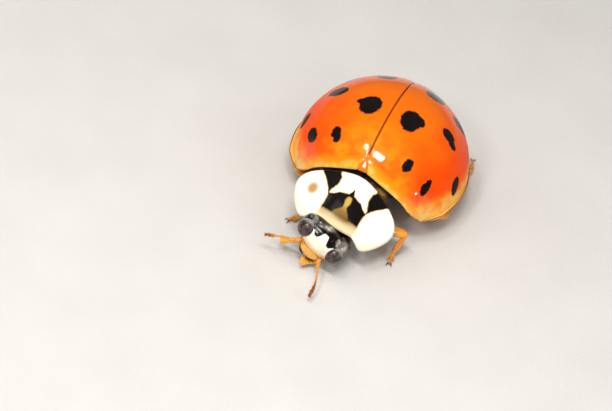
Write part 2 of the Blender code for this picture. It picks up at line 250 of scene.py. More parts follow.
def grid_faces(rows, columns, wrap, first=0):
    faces = []
    for row in range(rows - 1):
        for column in range(columns if wrap else columns - 1):
            here = first + row * columns + column
            beside = first + row * columns + (column + 1) % columns
            faces.append((here, beside, beside + columns, here + columns))
    return faces


def make_object(mesh, finish):
    """A smooth object of one finish from a mesh, with the name of that mesh."""
    mesh.shade_smooth()
    mesh.materials.append(finish.material)
    piece = bpy.data.objects.new(mesh.name, mesh)
    bpy.context.scene.collection.objects.link(piece)
    return piece


def make_piece(name, grids, finish, wrap=True, angle=60):
    """One object from grids of points in millimetres; wrap closes each grid round its columns."""
    points = []
    faces = []
    for grid in grids:
        grid = np.asarray(grid, float)
        faces += grid_faces(grid.shape[0], grid.shape[1], wrap, len(points))
        points += [tuple(point) for point in grid.reshape(-1, 3)]
    mesh = bpy.data.meshes.new(name)
    mesh.from_pydata(points, [], faces)
    shape = bmesh.new()
    shape.from_mesh(mesh)
    bmesh.ops.remove_doubles(shape, verts=shape.verts[:], dist=MERGE_DISTANCE)
    if wrap:
        edges = [edge for edge in shape.edges if edge.is_boundary]
        bmesh.ops.holes_fill(shape, edges=edges, sides=0)
        bmesh.ops.recalc_face_normals(shape, faces=shape.faces[:])
    bmesh.ops.scale(shape, vec=(MM, MM, MM), verts=shape.verts[:])
    shape.to_mesh(mesh)
    shape.free()
    piece = make_object(mesh, finish)
    mesh.set_sharp_from_angle(angle=radians(angle))
    return piece


print("squares in a closed grid of 3 rows and 4 columns:", len(grid_faces(3, 4, True)))

# %% [markdown]
# Each piece has axes of its own, so that the head, say, can be drawn straight and then turned. Once
# it is in place it is tied to the frame: it rides on the one body of this still model, and stands for
# the CAD solids that it hides. Its box is printed beside theirs.

# %% Putting a piece in its place
UPRIGHT = (0.0, 0.0, 0.0)
ON_FLOOR = ((0.0, 0.0, 0.0), UPRIGHT)
ON_RIM = ((0.0, 0.0, RIM), UPRIGHT)


def turned(turn):
    """The turn of a piece from its yaw, pitch and roll in degrees."""
    yaw, pitch, roll = (radians(angle) for angle in turn)
    return Euler((pitch, roll, yaw), "YXZ").to_matrix()


def settle(piece, centre, turn):
    """Puts a piece at a place given from the middle of the dome, and turns it."""
    piece.matrix_world = Matrix.Translation((Vector(centre) + MIDDLE) * MM) @ turned(turn).to_4x4()


def dress(piece, where, slot, *nodes):
    """Settles a piece and says what it is in the frame."""
    settle(piece, *where)
    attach(piece, "root")
    if nodes:
        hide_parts(*nodes)
        bpy.context.view_layer.update()
        corners = [piece.matrix_world @ Vector(corner) / MM for corner in piece.bound_box]
        size = [max(c[i] for c in corners) - min(c[i] for c in corners) for i in range(3)]
        lows, highs = zip(*(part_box(node) for node in nodes))
        cad = [(max(h[i] for h in highs) - min(low[i] for low in lows)) / MM for i in range(3)]
        print(f"{piece.name}: {[round(v, 2) for v in size]} mm, CAD {[round(v, 2) for v in cad]}")


print("pieces are placed from the middle of the dome, at y", round(MIDDLE.y, 2))

# %% [markdown]
# A few small tools shape the grids. `ease` is the smooth step from 0 to 1 that many outlines use, and
# `crowded` spaces rows closer where a surface turns faster. `curve_through` draws a smooth line
# through a few chosen points, so that an outline or a leg needs only the points that matter.

# %% Smooth steps and curves
def turns(count):
    """Angles evenly round a ring."""
    return np.linspace(0.0, 2 * pi, count, endpoint=False)


def crowded(count, power):
    """Shares from 0 to 1 that stand closer together towards 1."""
    return 1.0 - (1.0 - np.linspace(0.0, 1.0, count)) ** power


def unit(vectors):
    """The same directions, each 1 long."""
    return vectors / (np.linalg.norm(vectors, axis=-1, keepdims=True) + 1e-9)


def ease(low, high, value):
    share = np.clip((np.asarray(value, float) - low) / (high - low), 0.0, 1.0)
    return share * share * (3.0 - 2.0 * share)


def curve_through(points, count, closed=False):
    """count points on a Catmull-Rom curve through the given ones."""
    points = np.asarray(points, float)
    if not closed:
        points = np.vstack((2 * points[0] - points[1], points, 2 * points[-1] - points[-2]))
    spans = len(points) if closed else len(points) - 3
    curve = []
    for place in np.linspace(0.0, spans, count, endpoint=not closed):
        span = min(int(place), spans - 1)
        t = place - span
        start = span - 1 if closed else span
        a, b, c, d = (points[(start + k) % len(points)] for k in range(4))
        curve.append(0.5 * (2 * b + (c - a) * t + (2 * a - 5 * b + 4 * c - d) * t ** 2
                            + (3 * b - 3 * c + d - a) * t ** 3))
    return np.array(curve)


print("ease a quarter of the way gives", float(ease(0.0, 1.0, 0.25)))

# %% [markdown]
# The edge of a wing case and the links of the limbs are tubes: at each place on a path stands a ring
# of points, square to the path. A curve object with a round bevel is another way to a tube, but its
# section is round, and the thighs and feet of a beetle are flattened.

# %% Tubes along a path
def far_along(points):
    """How far along a path each of its points is."""
    return np.concatenate(([0.0], np.cumsum(np.linalg.norm(np.diff(points, axis=0), axis=1) + 1e-9)))


def resample(points, marks, places):
    """The path at new places, where marks says the place of each old point."""
    return np.column_stack([np.interp(places, marks, points[:, axis]) for axis in range(3)])


def tube(path, size, sides, up=(0.0, 0.0, 1.0), flat=1.0):
    """Rings round a path: size is half the width at each place, and flat squeezes the height."""
    along = unit(np.gradient(path, axis=0))
    sideways = unit(np.cross(up, along))
    upward = np.cross(along, sideways) * flat
    angles = turns(sides)[None, :, None]
    ring = sideways[:, None] * np.cos(angles) + upward[:, None] * np.sin(angles)
    return path[:, None] + ring * size[:, None, None]


print("points of a tube of 5 rings:", tube(np.eye(5, 3), np.ones(5), 8).shape[:2])

# %% [markdown]
# ## The wing cases
#
# A wing case is a thin vaulted plate. Seen from above its outline is half an ellipse, cut off in
# front where it meets the pronotum. The outline is given by how far the edge reaches, as a share of
# the dome's own ellipse, at a few angles round it. The two cases are mirror images, so one is enough.

# %% The outline of a wing case
SHOULDER = -51.0            # where the front edge starts, in degrees round the outline from the side
FRONT = -2.30               # the front edge on the middle line
EDGE_DIP = 0.11             # how far the front edge bows forward between the middle and the shoulder
EDGE_ANGLES = (SHOULDER, -48.0, -45.0, -41.0, -37.0, -33.0, -25.0, -15.0, 0.0, 40.0, 90.0)
EDGE_REACH = (0.970, 0.988, 0.996, 1.000, 1.009, 1.027, 1.040, 1.024, 1.014, 1.012, 1.002)


def edge_point(angle):
    """A place on the outline in plan, at an angle in degrees, 0 at the side and 90 at the tip."""
    reach = np.interp(angle, EDGE_ANGLES, EDGE_REACH)
    return reach * HALF_WIDTH * cos(radians(angle)), reach * HALF_LENGTH * sin(radians(angle))


CORNER_X, CORNER_Y = edge_point(SHOULDER)
TIP = edge_point(90.0)[1]


def front_bow(x):
    """How far the front edge stands before a straight line from the middle to the shoulder."""
    return EDGE_DIP * np.sin(pi * np.minimum(np.abs(x) / CORNER_X, 1.0))


def front_edge(x):
    return FRONT + (CORNER_Y - FRONT) * np.minimum(np.abs(x) / CORNER_X, 1.0) - front_bow(x)


print(f"the shoulder is at {CORNER_X:.2f}, {CORNER_Y:.2f}, and the tip at {TIP:.2f}")

# %% [markdown]
# In section a case is a dome, then a narrow gutter, then a flat lip. One height for each place in
# plan describes the outside. Two small swellings are added: one at the shoulder, over the muscles of
# the wing, and a faint ridge near the tip, which marks this species. In front the plate rolls down.

# %% The height of a wing case over its rim
LIP = 0.03
LIP_RISE = 0.06             # how far the lip turns up at its outer edge
GUTTER = 0.12               # the height in which the dome flows into the lip
SWELLINGS = (((1.62, -1.80), 0.36, 0.05), ((0.45, 2.30), 0.30, 0.035))     # place, size, height
ROLL_WIDTH = 0.18
ROLL_DEPTH = 0.11


def dome_share(x, y):
    """How far out a place is: 0 at the top of the dome and 1 at its foot."""
    return np.sqrt((x / HALF_WIDTH) ** 2 + (y / HALF_LENGTH) ** 2)


def case_height(x, y):
    share = dome_share(x, y)
    dome = HEIGHT * np.sqrt(np.maximum(0.0, 1.0 - share ** 2))
    lip = LIP + LIP_RISE * ease(1.0, 1.03, share)
    blend = np.clip(0.5 + 0.5 * (dome - lip) / GUTTER, 0.0, 1.0)
    height = lip + (dome - lip) * blend + GUTTER * blend * (1.0 - blend)
    for place, size, top in SWELLINGS:
        height = height + top * np.exp(-((x - place[0]) ** 2 + (y - place[1]) ** 2) / size ** 2)
    roll = np.clip(1.0 - (y - front_edge(x)) / ROLL_WIDTH, 0.0, 1.0)
    return height - ROLL_DEPTH * roll ** 2 * ease(0.0, 0.2, height)


print("top of a wing case over its rim, mm:", round(float(case_height(0.0, 0.0)), 2))

# %% [markdown]
# The grid runs in rows from the seam out to the edge, one row after another from the front to the
# tip. The points of a row are spread along its own length, not in plan, because the flanks are steep.

# %% The outside of a wing case
CASE_ROWS = 120
CASE_COLUMNS = 110
FINE_STEPS = 600            # points of a row before they are spread along its length
BOW_FADE = 6                # how soon the rows behind the front edge lose its bow
SEAM_GAP = 0.005
NOTCH_HALF_WIDTH = 0.17
NOTCH_LENGTH = 0.36


def notch(y):
    """Half the width of the notch that the cases leave for the scutellum, or of the gap at the seam."""
    return np.maximum(SEAM_GAP, NOTCH_HALF_WIDTH * (1.0 - (y - FRONT) / NOTCH_LENGTH))


def case_row(share):
    """The outside of the left case at one station, share 0 at the front and 1 at the tip."""
    end_x, end_y = edge_point(SHOULDER + (90.0 - SHOULDER) * share)
    end_x = max(end_x, SEAM_GAP)
    seam_y = FRONT + (TIP - FRONT) * share
    seam_x = min(notch(seam_y), end_x)
    steps = crowded(FINE_STEPS, 2)
    x = seam_x + (end_x - seam_x) * steps
    y = seam_y + (end_y - seam_y) * steps - front_bow(x) * (1.0 - share) ** BOW_FADE
    points = np.column_stack((x, y, case_height(x, y)))
    far = far_along(points)
    return resample(points, far, far[-1] * crowded(CASE_COLUMNS, 1.3))


OUTSIDE = [case_row(share) for share in crowded(CASE_ROWS, 1.25)]
print(f"{CASE_ROWS} rows of {CASE_COLUMNS} points")

# %% [markdown]
# Each row then turns under the lip, which gives the folded rim, and comes back inside the plate. So
# every row is a closed loop and the plate has thickness. At the seam the plate is rounded over, and
# in front one more row, sunk between its two faces, closes it. The right case is the left, mirrored.

# %% The grid of a wing case
CASE_THICKNESS = 0.05
SEAM_ROUND = 0.03           # width and depth of the rounding at the seam
INSIDE_SHRINK = 0.018
FOLD_DEPTH = 0.01           # how far the folded rim hangs under the lip
RIM_BULGE = 1.003
FRONT_BULGE = 0.02


def case_grid(side):
    """The closed rows of a case, side 1 for the left one and -1 for the right one."""
    rows = []
    for x, y, z in (row.T for row in OUTSIDE):
        # the inside lies flat in a fold under the rim, from behind the shoulder to the tip
        outside = np.column_stack((x, y, z - SEAM_ROUND * np.exp(-((x - SEAM_GAP) / SEAM_ROUND) ** 2)))
        pull = 1.0 - INSIDE_SHRINK * ease(-0.2, 0.6, z / HEIGHT)
        fold = ease(0.88, 0.94, dome_share(x, y)) * ease(-1.85, -1.45, y)
        inner_z = (z - CASE_THICKNESS) * (1.0 - fold) - FOLD_DEPTH * fold
        inside = np.column_stack((np.maximum(x * pull, SEAM_GAP), y * pull, inner_z))
        edge = (x[-1] * RIM_BULGE, y[-1] * RIM_BULGE, 0.5 * (z[-1] + inner_z[-1]))
        rows.append(np.vstack((outside, edge, inside[::-1])))
    core = 0.5 * (rows[0] + rows[0][::-1]) - (0.0, FRONT_BULGE, 0.0)
    return np.array([core] + rows) * (side, 1.0, 1.0)


print("points in a wing case:", case_grid(1)[:, :, 0].size)

# %% [markdown]
# The wing cases are orange with near-black spots, nineteen in all on a full pattern. Each spot is an
# ellipse in plan, and some are two that run together. The distance from an ellipse, measured in its
# own radii, is below 1 inside it, so the smallest distance over all spots gives one mask.

# %% The spots
# place, radii, and the turn of the long axis away from straight back, in degrees
SPOTS_LEFT = (
    ((1.22, -1.65), (0.14, 0.22), -25), ((1.95, -1.60), (0.085, 0.25), -18),
    ((0.68, -0.40), (0.32, 0.42), 0), ((0.92, -0.20), (0.22, 0.17), -35), ((1.84, 0.26), (0.22, 0.22), 0),
    ((2.04, 0.14), (0.17, 0.13), -40), ((2.62, -0.50), (0.08, 0.24), 0), ((0.85, 1.58), (0.34, 0.32), 0),
    ((1.88, 1.42), (0.29, 0.26), 40), ((2.36, 1.33), (0.07, 0.14), 40), ((0.72, 2.36), (0.15, 0.12), 0),
)
SPOTS_RIGHT = (
    ((-1.24, -1.62), (0.14, 0.27), 30), ((-2.01, -1.47), (0.11, 0.29), 32),
    ((-0.69, -0.42), (0.34, 0.40), 0), ((-0.98, -0.33), (0.19, 0.13), 20), ((-1.92, 0.22), (0.28, 0.25), 0),
    ((-2.54, -0.62), (0.09, 0.22), 0), ((-0.85, 1.58), (0.33, 0.34), 0), ((-1.88, 1.40), (0.28, 0.27), -40),
    ((-2.38, 1.36), (0.08, 0.15), -40), ((-0.74, 2.34), (0.15, 0.13), 0),
)
RUN_TOGETHER = 0.12


def nearest_spot(finish, plan, spots):
    """How far a place is from the nearest spot, in that spot's radii."""
    nearest = None
    for centre, radii, turn in spots:
        inside = finish.node("ShaderNodeMapping", {"vector_type": "TEXTURE"}, {
            "Vector": plan,
            "Location": (*centre, 0.0),
            "Rotation": (0.0, 0.0, radians(turn)),
            "Scale": (*radii, 1.0),
        })
        far = finish.length(inside)
        nearest = far if nearest is None else nearest.math("SMOOTH_MIN", far, RUN_TOGETHER)
    return nearest


print("ellipses on the left and on the right:", len(SPOTS_LEFT), len(SPOTS_RIGHT))

# %% [markdown]
# Between the spots the orange is redder down the sides and turns to gold in clouds towards the front,
# where the plate ends in a cream line. The flared rim is thin, so it is paler too. Each of these is a
# mask that mixes one more colour over the last, and a slow noise keeps their edges from being ruled.

# %% The orange of a wing case
ORANGE = paint(255, 112, 0)
DEEP_ORANGE = paint(255, 74, 0)
GOLD = paint(255, 158, 10)
CREAM = paint(255, 206, 84)
PALE_RIM = paint(255, 198, 100)


def case_ground(finish, place, share, x, y):
    """The colour of a wing case without its spots; share is the share of the dome's radius."""
    slow = finish.noise(place, 1.4)
    mottle = finish.noise(place, 2.6, 4.0).rise(0.35, 0.65)
    colour = finish.mix((share + (slow - 0.5) * 0.5).rise(0.35, 0.98), ORANGE, DEEP_ORANGE)
    fore = (y + x * x * 0.36).rise(-0.5, -1.9)
    colour = finish.mix(fore * (0.20 + mottle * 0.60), colour, GOLD)
    behind_edge = y - FRONT + (x * (pi / CORNER_X)).math("SINE") * EDGE_DIP + (mottle - 0.5) * 0.08
    colour = finish.mix(behind_edge.rise(0.26, 0.10) * 0.7, colour, GOLD)
    colour = finish.mix(behind_edge.rise(0.15, 0.03), colour, CREAM)
    outer = share + (mottle - 0.5) * 0.02
    colour = finish.mix(outer.rise(0.93, 1.00) * y.rise(1.2, -0.6) * 0.8, colour, GOLD)
    return finish.mix(outer.rise(0.965, 1.01), colour, PALE_RIM)


print("red, green and blue light in the orange:", [round(share, 2) for share in ORANGE[:3]])

# %% [markdown]
# The black spots have ragged edges with a narrow rusty fringe, and take the same glossy coat. The
# dots all over a wing case are punctures, tiny pits about a twentieth of a millimetre apart. They are
# far too many to model, so a cell pattern gives them as a bump, and a slow noise under it keeps the
# long reflections from being perfectly smooth, as they never are on a grown thing.

# %% The finish of a wing case
RUST = paint(176, 62, 12)
SEAM_BROWN = paint(112, 40, 8)
PUNCTURES = 0.055           # from one to the next
CASE_RELIEF = 0.006


def case_finish(name, spots):
    finish = chitin(name, ORANGE, gloss=1.0, depth=0.16)
    place = finish.place()
    flat = finish.flatten(place)
    x, y, _ = finish.split(place)
    x = abs(x)
    share = finish.length(flat, (HALF_WIDTH, HALF_LENGTH, 1.0))
    colour = case_ground(finish, place, share, x, y)
    # the plan is pushed about for the spots, but not down on the flanks, which it would smear
    plan = finish.ragged(finish.ragged(flat, 6.0, 0.10), 24.0, 0.09)
    plan = finish.node(
        "ShaderNodeMix", {"data_type": "VECTOR"}, {0: share.rise(0.8, 1.0), 4: plan, 5: flat}, 1
    )
    far = nearest_spot(finish, plan, spots)
    colour = finish.mix(far.rise(1.15, 1.0) * 0.5, colour, RUST)
    colour = finish.mix(far.rise(1.04, 0.95), colour, BLACK)
    colour = finish.mix(x.rise(0.045, 0.012) * 0.85, colour, SEAM_BROWN)
    finish.feed("Base Color", colour)
    # low on the flanks the coat wears thin, except near the shoulder
    finish.feed("Coat Weight", 1 - share.rise(0.64, 0.94) * y.rise(-1.9, -1.4) * 0.9)
    finish.bump(finish.pits(place, PUNCTURES) * 0.35 + finish.noise(place, 2.2, 1.0) * 2.0, CASE_RELIEF)
    return finish


print("punctures in a square millimetre, about:", round(1 / PUNCTURES ** 2))

# %% [markdown]
# The very edge of a case is rolled into a fine darker bead, which stiffens it as the hem of a tin
# bowl does. It could be painted on, but an edge is seen against the floor, so it is a thin tube that
# follows the ends of the rows, and swells from nothing over the first few.

# %% The bead along the edge
BEAD_RADIUS = 0.020
BEAD_SIDES = 10
BEAD_DROP = 0.015
BEAD_START = 4              # in so many rows it reaches its full size
BEAD_BROWN = paint(120, 78, 34)
bead_finish = Finish("case_edge_finish", {"Base Color": BEAD_BROWN, "Roughness": 0.4, "Coat Weight": 0.6})
bead_cloud = bead_finish.noise(bead_finish.place(), 6.0)
bead_finish.feed("Base Color", bead_finish.mix(bead_cloud, paint(128, 66, 18), paint(190, 112, 36)))


def bead_grid(side):
    path = np.array([row[-1] for row in OUTSIDE]) * (side, 1, 1) - (0, 0, BEAD_DROP)
    size = BEAD_RADIUS * np.sqrt(np.minimum(np.arange(len(path)), BEAD_START) / BEAD_START)
    return tube(path, size, BEAD_SIDES)


print("length of the bead, mm:", round(far_along(bead_grid(1)[:, 0])[-1], 1))

# %% [markdown]
# With the grid, the spots and the finish, the two cases are made by one loop. Their own axes start in
# the middle of the dome at the height of the rim.

# %% The two wing cases
for side, word, spots in ((1, "left", SPOTS_LEFT), (-1, "right", SPOTS_RIGHT)):
    bead = make_piece("wing_case_" + word + "_edge", [bead_grid(side)], bead_finish)
    dress(bead, ON_RIM, "wing_case")
    finish = case_finish("wing_case_" + word + "_finish", spots)
    case = make_piece("wing_case_" + word + "_shell", [case_grid(side)], finish)
    dress(case, ON_RIM, "wing_case", "wing_case_" + word)

# %% [markdown]
# The scutellum is the little triangle between the wing cases in front, a plate of the thorax that
# locks them together. It is a shallow tent that fills the notch of the cases, orange-brown and almost
# as glossy as its neighbours. Each of its rows is a flattened ring, which gives it rounded edges.

# %% The scutellum
PLATE_FRONT = min((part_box("scutellum")[0] / MM - MIDDLE).y, FRONT - 0.06)
PLATE_LENGTH = FRONT + NOTCH_LENGTH - PLATE_FRONT - 0.01
PLATE_ROWS = 16
PLATE_COLUMNS = 24
PLATE_CROWN = 0.012         # how much its middle stands over its sides
PLATE_OVER = 0.02           # its top over the dome, and its underside below it
PLATE_UNDER = 0.08


def scutellum_grid():
    rows = []
    angles = turns(PLATE_COLUMNS)
    across, rise = np.cos(angles), np.sin(angles)
    for share in np.linspace(0.0, 1.0, PLATE_ROWS):
        y = PLATE_FRONT + PLATE_LENGTH * share
        half = max(0.001, notch(max(y, FRONT)) - 1.2 * SEAM_GAP)
        dome = HEIGHT * (1.0 - (y / HALF_LENGTH) ** 2) ** 0.5 - PLATE_CROWN * across ** 2
        z = dome + np.where(rise > 0, PLATE_OVER, -PLATE_UNDER) * np.abs(rise) ** 0.3
        rows.append(np.column_stack((half * across, 0.0 * across + y, z)))
    return np.array(rows)


plate_finish = chitin("scutellum_finish", RUST, gloss=1.0, depth=0.1)
place = plate_finish.place()
plate_colour = plate_finish.mix(plate_finish.noise(place, 9.0), paint(216, 92, 6), paint(255, 150, 30))
plate_finish.feed("Base Color", plate_colour)
plate_finish.bump(plate_finish.pits(place, 0.05), 0.004)
scutellum = make_piece("scutellum_plate", [scutellum_grid()], plate_finish)
dress(scutellum, ON_RIM, "wing_case", "scutellum")

# %% [markdown]
# ## The pronotum
#
# The pronotum is a saddle-shaped shield, bent across and bent a little less from front to back, with
# a hollowed front edge for the head. It leans forward and to one side, so it gets axes of its own.
# Its outline is a smooth curve through a few points of one half, mirrored. Rings that shrink towards
# a pole fill it: first the outside from the pole to the edge, then the inside back to the pole.

# %% The outline of the pronotum
PRONOTUM_WHERE = ((0.08, -3.20, 2.12), (-6.0, 30.0, 11.5))
PRONOTUM_HALF = np.array((
    (0.0, 0.68), (0.65, 0.54), (1.29, 0.24), (1.62, -0.03), (1.72, -0.36),
    (1.58, -0.78), (1.32, -1.15), (1.06, -1.32), (0.82, -1.22), (0.62, -1.13), (0.30, -1.15),
))
OUTLINE_POINTS = 160
shield_outline = np.vstack((PRONOTUM_HALF, PRONOTUM_HALF[:0:-1] * (-1, 1)))
shield_outline = curve_through(shield_outline, OUTLINE_POINTS, closed=True)
print("widest place of the outline, mm:", round(2 * shield_outline[:, 0].max(), 2))

# %% [markdown]
# The shield is highest along the middle and falls to the sides like part of a barrel. At the sides
# its edge is a raised bead, and in front and behind it curls down.

# %% The shape of the pronotum
PRONOTUM_POLE = np.array((0.0, -0.30))
ARCH_HALF_WIDTH = 1.88
ARCH_HEIGHT = 0.92
ARCH_SLOPE = 0.069
OUTER_RINGS = 42
INNER_RINGS = 16
BEAD_HEIGHT = 0.035         # the raised bead at the sides, and how far its outer face drops
BEAD_FALL = 0.05
CURL = 0.04                 # how far the front and back edges curl down
SHIELD_THICKNESS = 0.09
INNER_SAG = 0.20            # how much thicker the shield is at its pole


def shield_ring(share, inner=0.0):
    """A ring at a share of the way from the pole to the outline, lowered for the inside."""
    ring = PRONOTUM_POLE + (shield_outline - PRONOTUM_POLE) * share
    x, y = ring.T
    arch = ARCH_HEIGHT * (np.sqrt(np.maximum(0.0, 1.0 - (x / ARCH_HALF_WIDTH) ** 2)) - 1.0)
    return np.column_stack((ring, arch - ARCH_SLOPE * y ** 2 - inner))


def pronotum_grid():
    rings = []
    for share in crowded(OUTER_RINGS, 1.4):
        ring = shield_ring(share)
        bead = BEAD_HEIGHT * ease(0.93, 0.975, share) - BEAD_FALL * ease(0.98, 1.0, share)
        side = ease(0.9, 1.5, np.abs(ring[:, 0]))
        ring[:, 2] += bead * side - CURL * (1 - side) * ease(0.95, 1.0, share)
        rings.append(ring)
    for share in np.linspace(1.0, 0.0, INNER_RINGS):
        rings.append(shield_ring(min(share, 0.995), SHIELD_THICKNESS + INNER_SAG * (1.0 - share)))
    return np.array(rings)


print("points in the pronotum:", pronotum_grid()[:, :, 0].size)

# %% [markdown]
# The marking of this species is a black M or butterfly on white. Here the white reaches far in: two
# lobes at the sides, a white butterfly at the back with an ochre streak running forward from it, and
# a creamy front band where the plate is thin and light shines through. Each area is a distance worked
# out from the coordinates, above 0 inside it. The larger of two distances joins their areas, and the
# smaller one leaves only what they share.

# %% The areas of the pronotum
WHITE = paint(248, 244, 234)
shield_finish = chitin("pronotum_finish", WHITE, gloss=0.7, depth=0.12)
place = shield_finish.place()
x, y, _ = shield_finish.split(shield_finish.ragged(shield_finish.ragged(place, 5.0, 0.05), 13.0, 0.04))
x = abs(x)
lobe = x - 0.635 - (y + 0.42).math("MAXIMUM").math("POWER", 1.6) * 0.95
butterfly_front = y + x * 0.20 + x * x * 0.28 + x.rise(0.36, 0.52) * 0.05 - x.rise(0.09, 0.0) * 0.18 - 0.01
butterfly_side = 0.55 + y.rise(0.15, -0.20) * 0.11 + y.rise(0.33, 0.47) * 0.09 - x
white = lobe.math("MAXIMUM", butterfly_front.math("SMOOTH_MIN", butterfly_side, 0.07))
streak_half = 0.065 + abs(y + 0.24).rise(0.20, 0.0) * 0.03 + y.rise(-0.42, -0.74) * 0.20
streak = (streak_half - x).math("MINIMUM", -0.075 - y - x * x * 5.0)
band = -0.77 - y
print("nodes of the pronotum's areas:", len(shield_finish.tree.nodes))

# %% [markdown]
# The colours go on in layers over black: a tan fringe round the white, the streak, the band, then the
# white itself. A brown patch in the middle of the band is painted shade. A mustard spot and a warm
# cloud at the outer edge make it look grown rather than printed. In the middle of the front half the
# plate has almost no gloss.

# %% The finish of the pronotum
OCHRE = paint(142, 102, 38)
flat = shield_finish.flatten(place)
# painted shade: a brown patch where the band meets the streak
painted_shade = nearest_spot(shield_finish, flat, (((0.12, -0.79), (0.42, 0.13), 0),))
yellow = nearest_spot(shield_finish, flat, (((-1.17, -0.37), (0.17, 0.22), 0),))
outer = shield_finish.length(place, (1.76, 1.30, 9.0)) + shield_finish.noise(place, 3.0) * 0.1
band_colour = shield_finish.mix(y.rise(-0.74, -0.86), OCHRE, paint(206, 180, 132))
band_colour = shield_finish.mix(y.rise(-0.84, -1.06), band_colour, paint(232, 212, 168))
colour = BLACK
for mask, over in (
    (white.rise(-0.03, 0.02) * 0.8, paint(150, 98, 58)),
    (streak.math("MAXIMUM", band).rise(-0.03, 0.03),
     shield_finish.mix(y.rise(-0.30, -0.62), paint(204, 168, 80), OCHRE)),
    (band.rise(-0.03, 0.04), band_colour),
    (painted_shade.rise(1.20, 0.2) * 0.65, paint(106, 76, 32)),
    (white.rise(-0.01, 0.035), shield_finish.mix(white.rise(0.02, 0.12), paint(252, 232, 186), WHITE)),
    (yellow.rise(1.30, 0.4) * 0.9, paint(190, 138, 34)),
    (outer.rise(1.02, 1.12) * 0.3, paint(220, 180, 120)),
):
    colour = shield_finish.mix(mask, colour, over)
shield_finish.feed("Base Color", colour)
shield_finish.feed("Coat Weight", 0.8 - y.rise(0.15, -0.10) * x.rise(0.85, 0.65) * 0.78)
shield_finish.bump(shield_finish.pits(place, 0.05) * 0.3 + shield_finish.noise(place, 2.5, 1.0) * 2.0, 0.006)
pronotum = make_piece("pronotum_shield", [pronotum_grid()], shield_finish)
dress(pronotum, PRONOTUM_WHERE, "pronotum", "pronotum")

# %% [markdown]
# ## The body
#
# Below the shell the trunk is flat: a narrow fore body under the pronotum, a waist, and a broad hind
# body of overlapping rings whose belly plates show from the side and from below. One loft makes all
# of it, so no seam shows. A few stations give its half width, top and belly along the length, and a
# small step in the belly at each ring makes the plates overlap.

# %% The shape of the trunk
TRUNK = (
    # y, middle x, half width, top, belly
    (-3.98, -0.14, 0.02, 1.05, 1.00), (-3.95, -0.13, 0.30, 1.28, 0.78), (-3.80, -0.10, 0.62, 1.38, 0.70),
    (-3.50, -0.04, 0.98, 1.56, 0.62), (-3.10, 0.00, 1.18, 1.78, 0.58), (-2.80, 0.00, 1.12, 1.92, 0.62),
    (-2.62, 0.00, 0.86, 2.02, 0.68), (-2.42, 0.00, 0.92, 2.02, 0.66), (-2.20, 0.00, 1.14, 2.08, 0.68),
    (-1.50, 0.00, 1.76, 2.58, 0.70), (-0.50, 0.00, 2.20, 2.92, 0.74), (0.50, 0.00, 2.20, 2.92, 0.76),
    (1.20, 0.00, 1.98, 2.72, 0.78), (1.80, 0.00, 1.52, 2.32, 0.80), (2.20, 0.00, 0.98, 1.84, 0.84),
    (2.38, 0.00, 0.50, 1.42, 0.92), (2.42, 0.00, 0.02, 1.20, 1.15),
)
RING_EDGES = (-1.75, -0.45, 0.15, 0.70, 1.20, 1.65, 2.05)
RING_STEP = 0.05
RING_FADE = 0.10            # how far behind its edge a step has faded


def loft(stations, rows, columns, power=2.0):
    """Rounded sections through stations of (y, middle x, half width, top, bottom)."""
    angles = turns(columns)
    across, rise = (np.sign(v) * np.abs(v) ** (2.0 / power) for v in (np.cos(angles), np.sin(angles)))
    grid = []
    for y, middle, half, top, low in curve_through(stations, rows):
        z = 0.5 * (top + low) + 0.5 * (top - low) * rise
        grid.append(np.column_stack((middle + half * across, 0.0 * across + y, z)))
    return np.array(grid)


def trunk_grid():
    grid = loft(TRUNK, 150, 96, power=2.3)
    below = 1.0 - ease(0.9, 1.4, grid[:, :, 2])
    for edge in RING_EDGES:
        behind = grid[:, :, 1] - edge
        grid[:, :, 2] += RING_STEP * np.exp(-np.maximum(behind, 0.0) / RING_FADE) * (behind > 0) * below
    return grid


print("rings of the belly:", len(RING_EDGES))

# %% [markdown]
# The trunk is black and rough under the shell. Its belly turns rusty towards the sides, and the neck
# between pronotum and wing cases has brown patches, which show in the narrow gap above.

# %% The trunk
trunk_finish = chitin("trunk_finish", BLACK, gloss=0.5)
place = trunk_finish.place()
x, y, z = trunk_finish.split(place)
side = (abs(x) + (trunk_finish.noise(place, 3.0) - 0.5) * 0.3).rise(1.35, 1.75) * y.rise(-0.6, -0.2)
colour = trunk_finish.mix(side, paint(34, 20, 15), paint(158, 84, 34))
neck = z.rise(1.40, 1.85) * y.rise(-2.15, -2.30)
patches = trunk_finish.noise(place, 4.5, 3.0).rise(0.42, 0.62)
colour = trunk_finish.mix(neck * (0.25 + patches * 0.75), colour, paint(158, 118, 62))
trunk_finish.feed("Base Color", colour)
trunk_finish.bump(trunk_finish.pits(place, 0.06) + trunk_finish.noise(place, 18.0) * 0.8, 0.012)
trunk = make_piece("trunk", [trunk_grid()], trunk_finish)
dress(trunk, ON_FLOOR, "chitin", "thorax", "abdomen", "prothorax")

# %% [markdown]
# ## The head
#
# The head is a short capsule, sunk to the eyes in the hollow of the pronotum. Its face looks up and
# forward, so in its own axes z points out of the face and y runs from the mouth to the nape. The
# capsule ends at the clypeus, the narrow strip above the upper lip. It swells a little round each
# eye, and a fine groove sets off the clypeus.

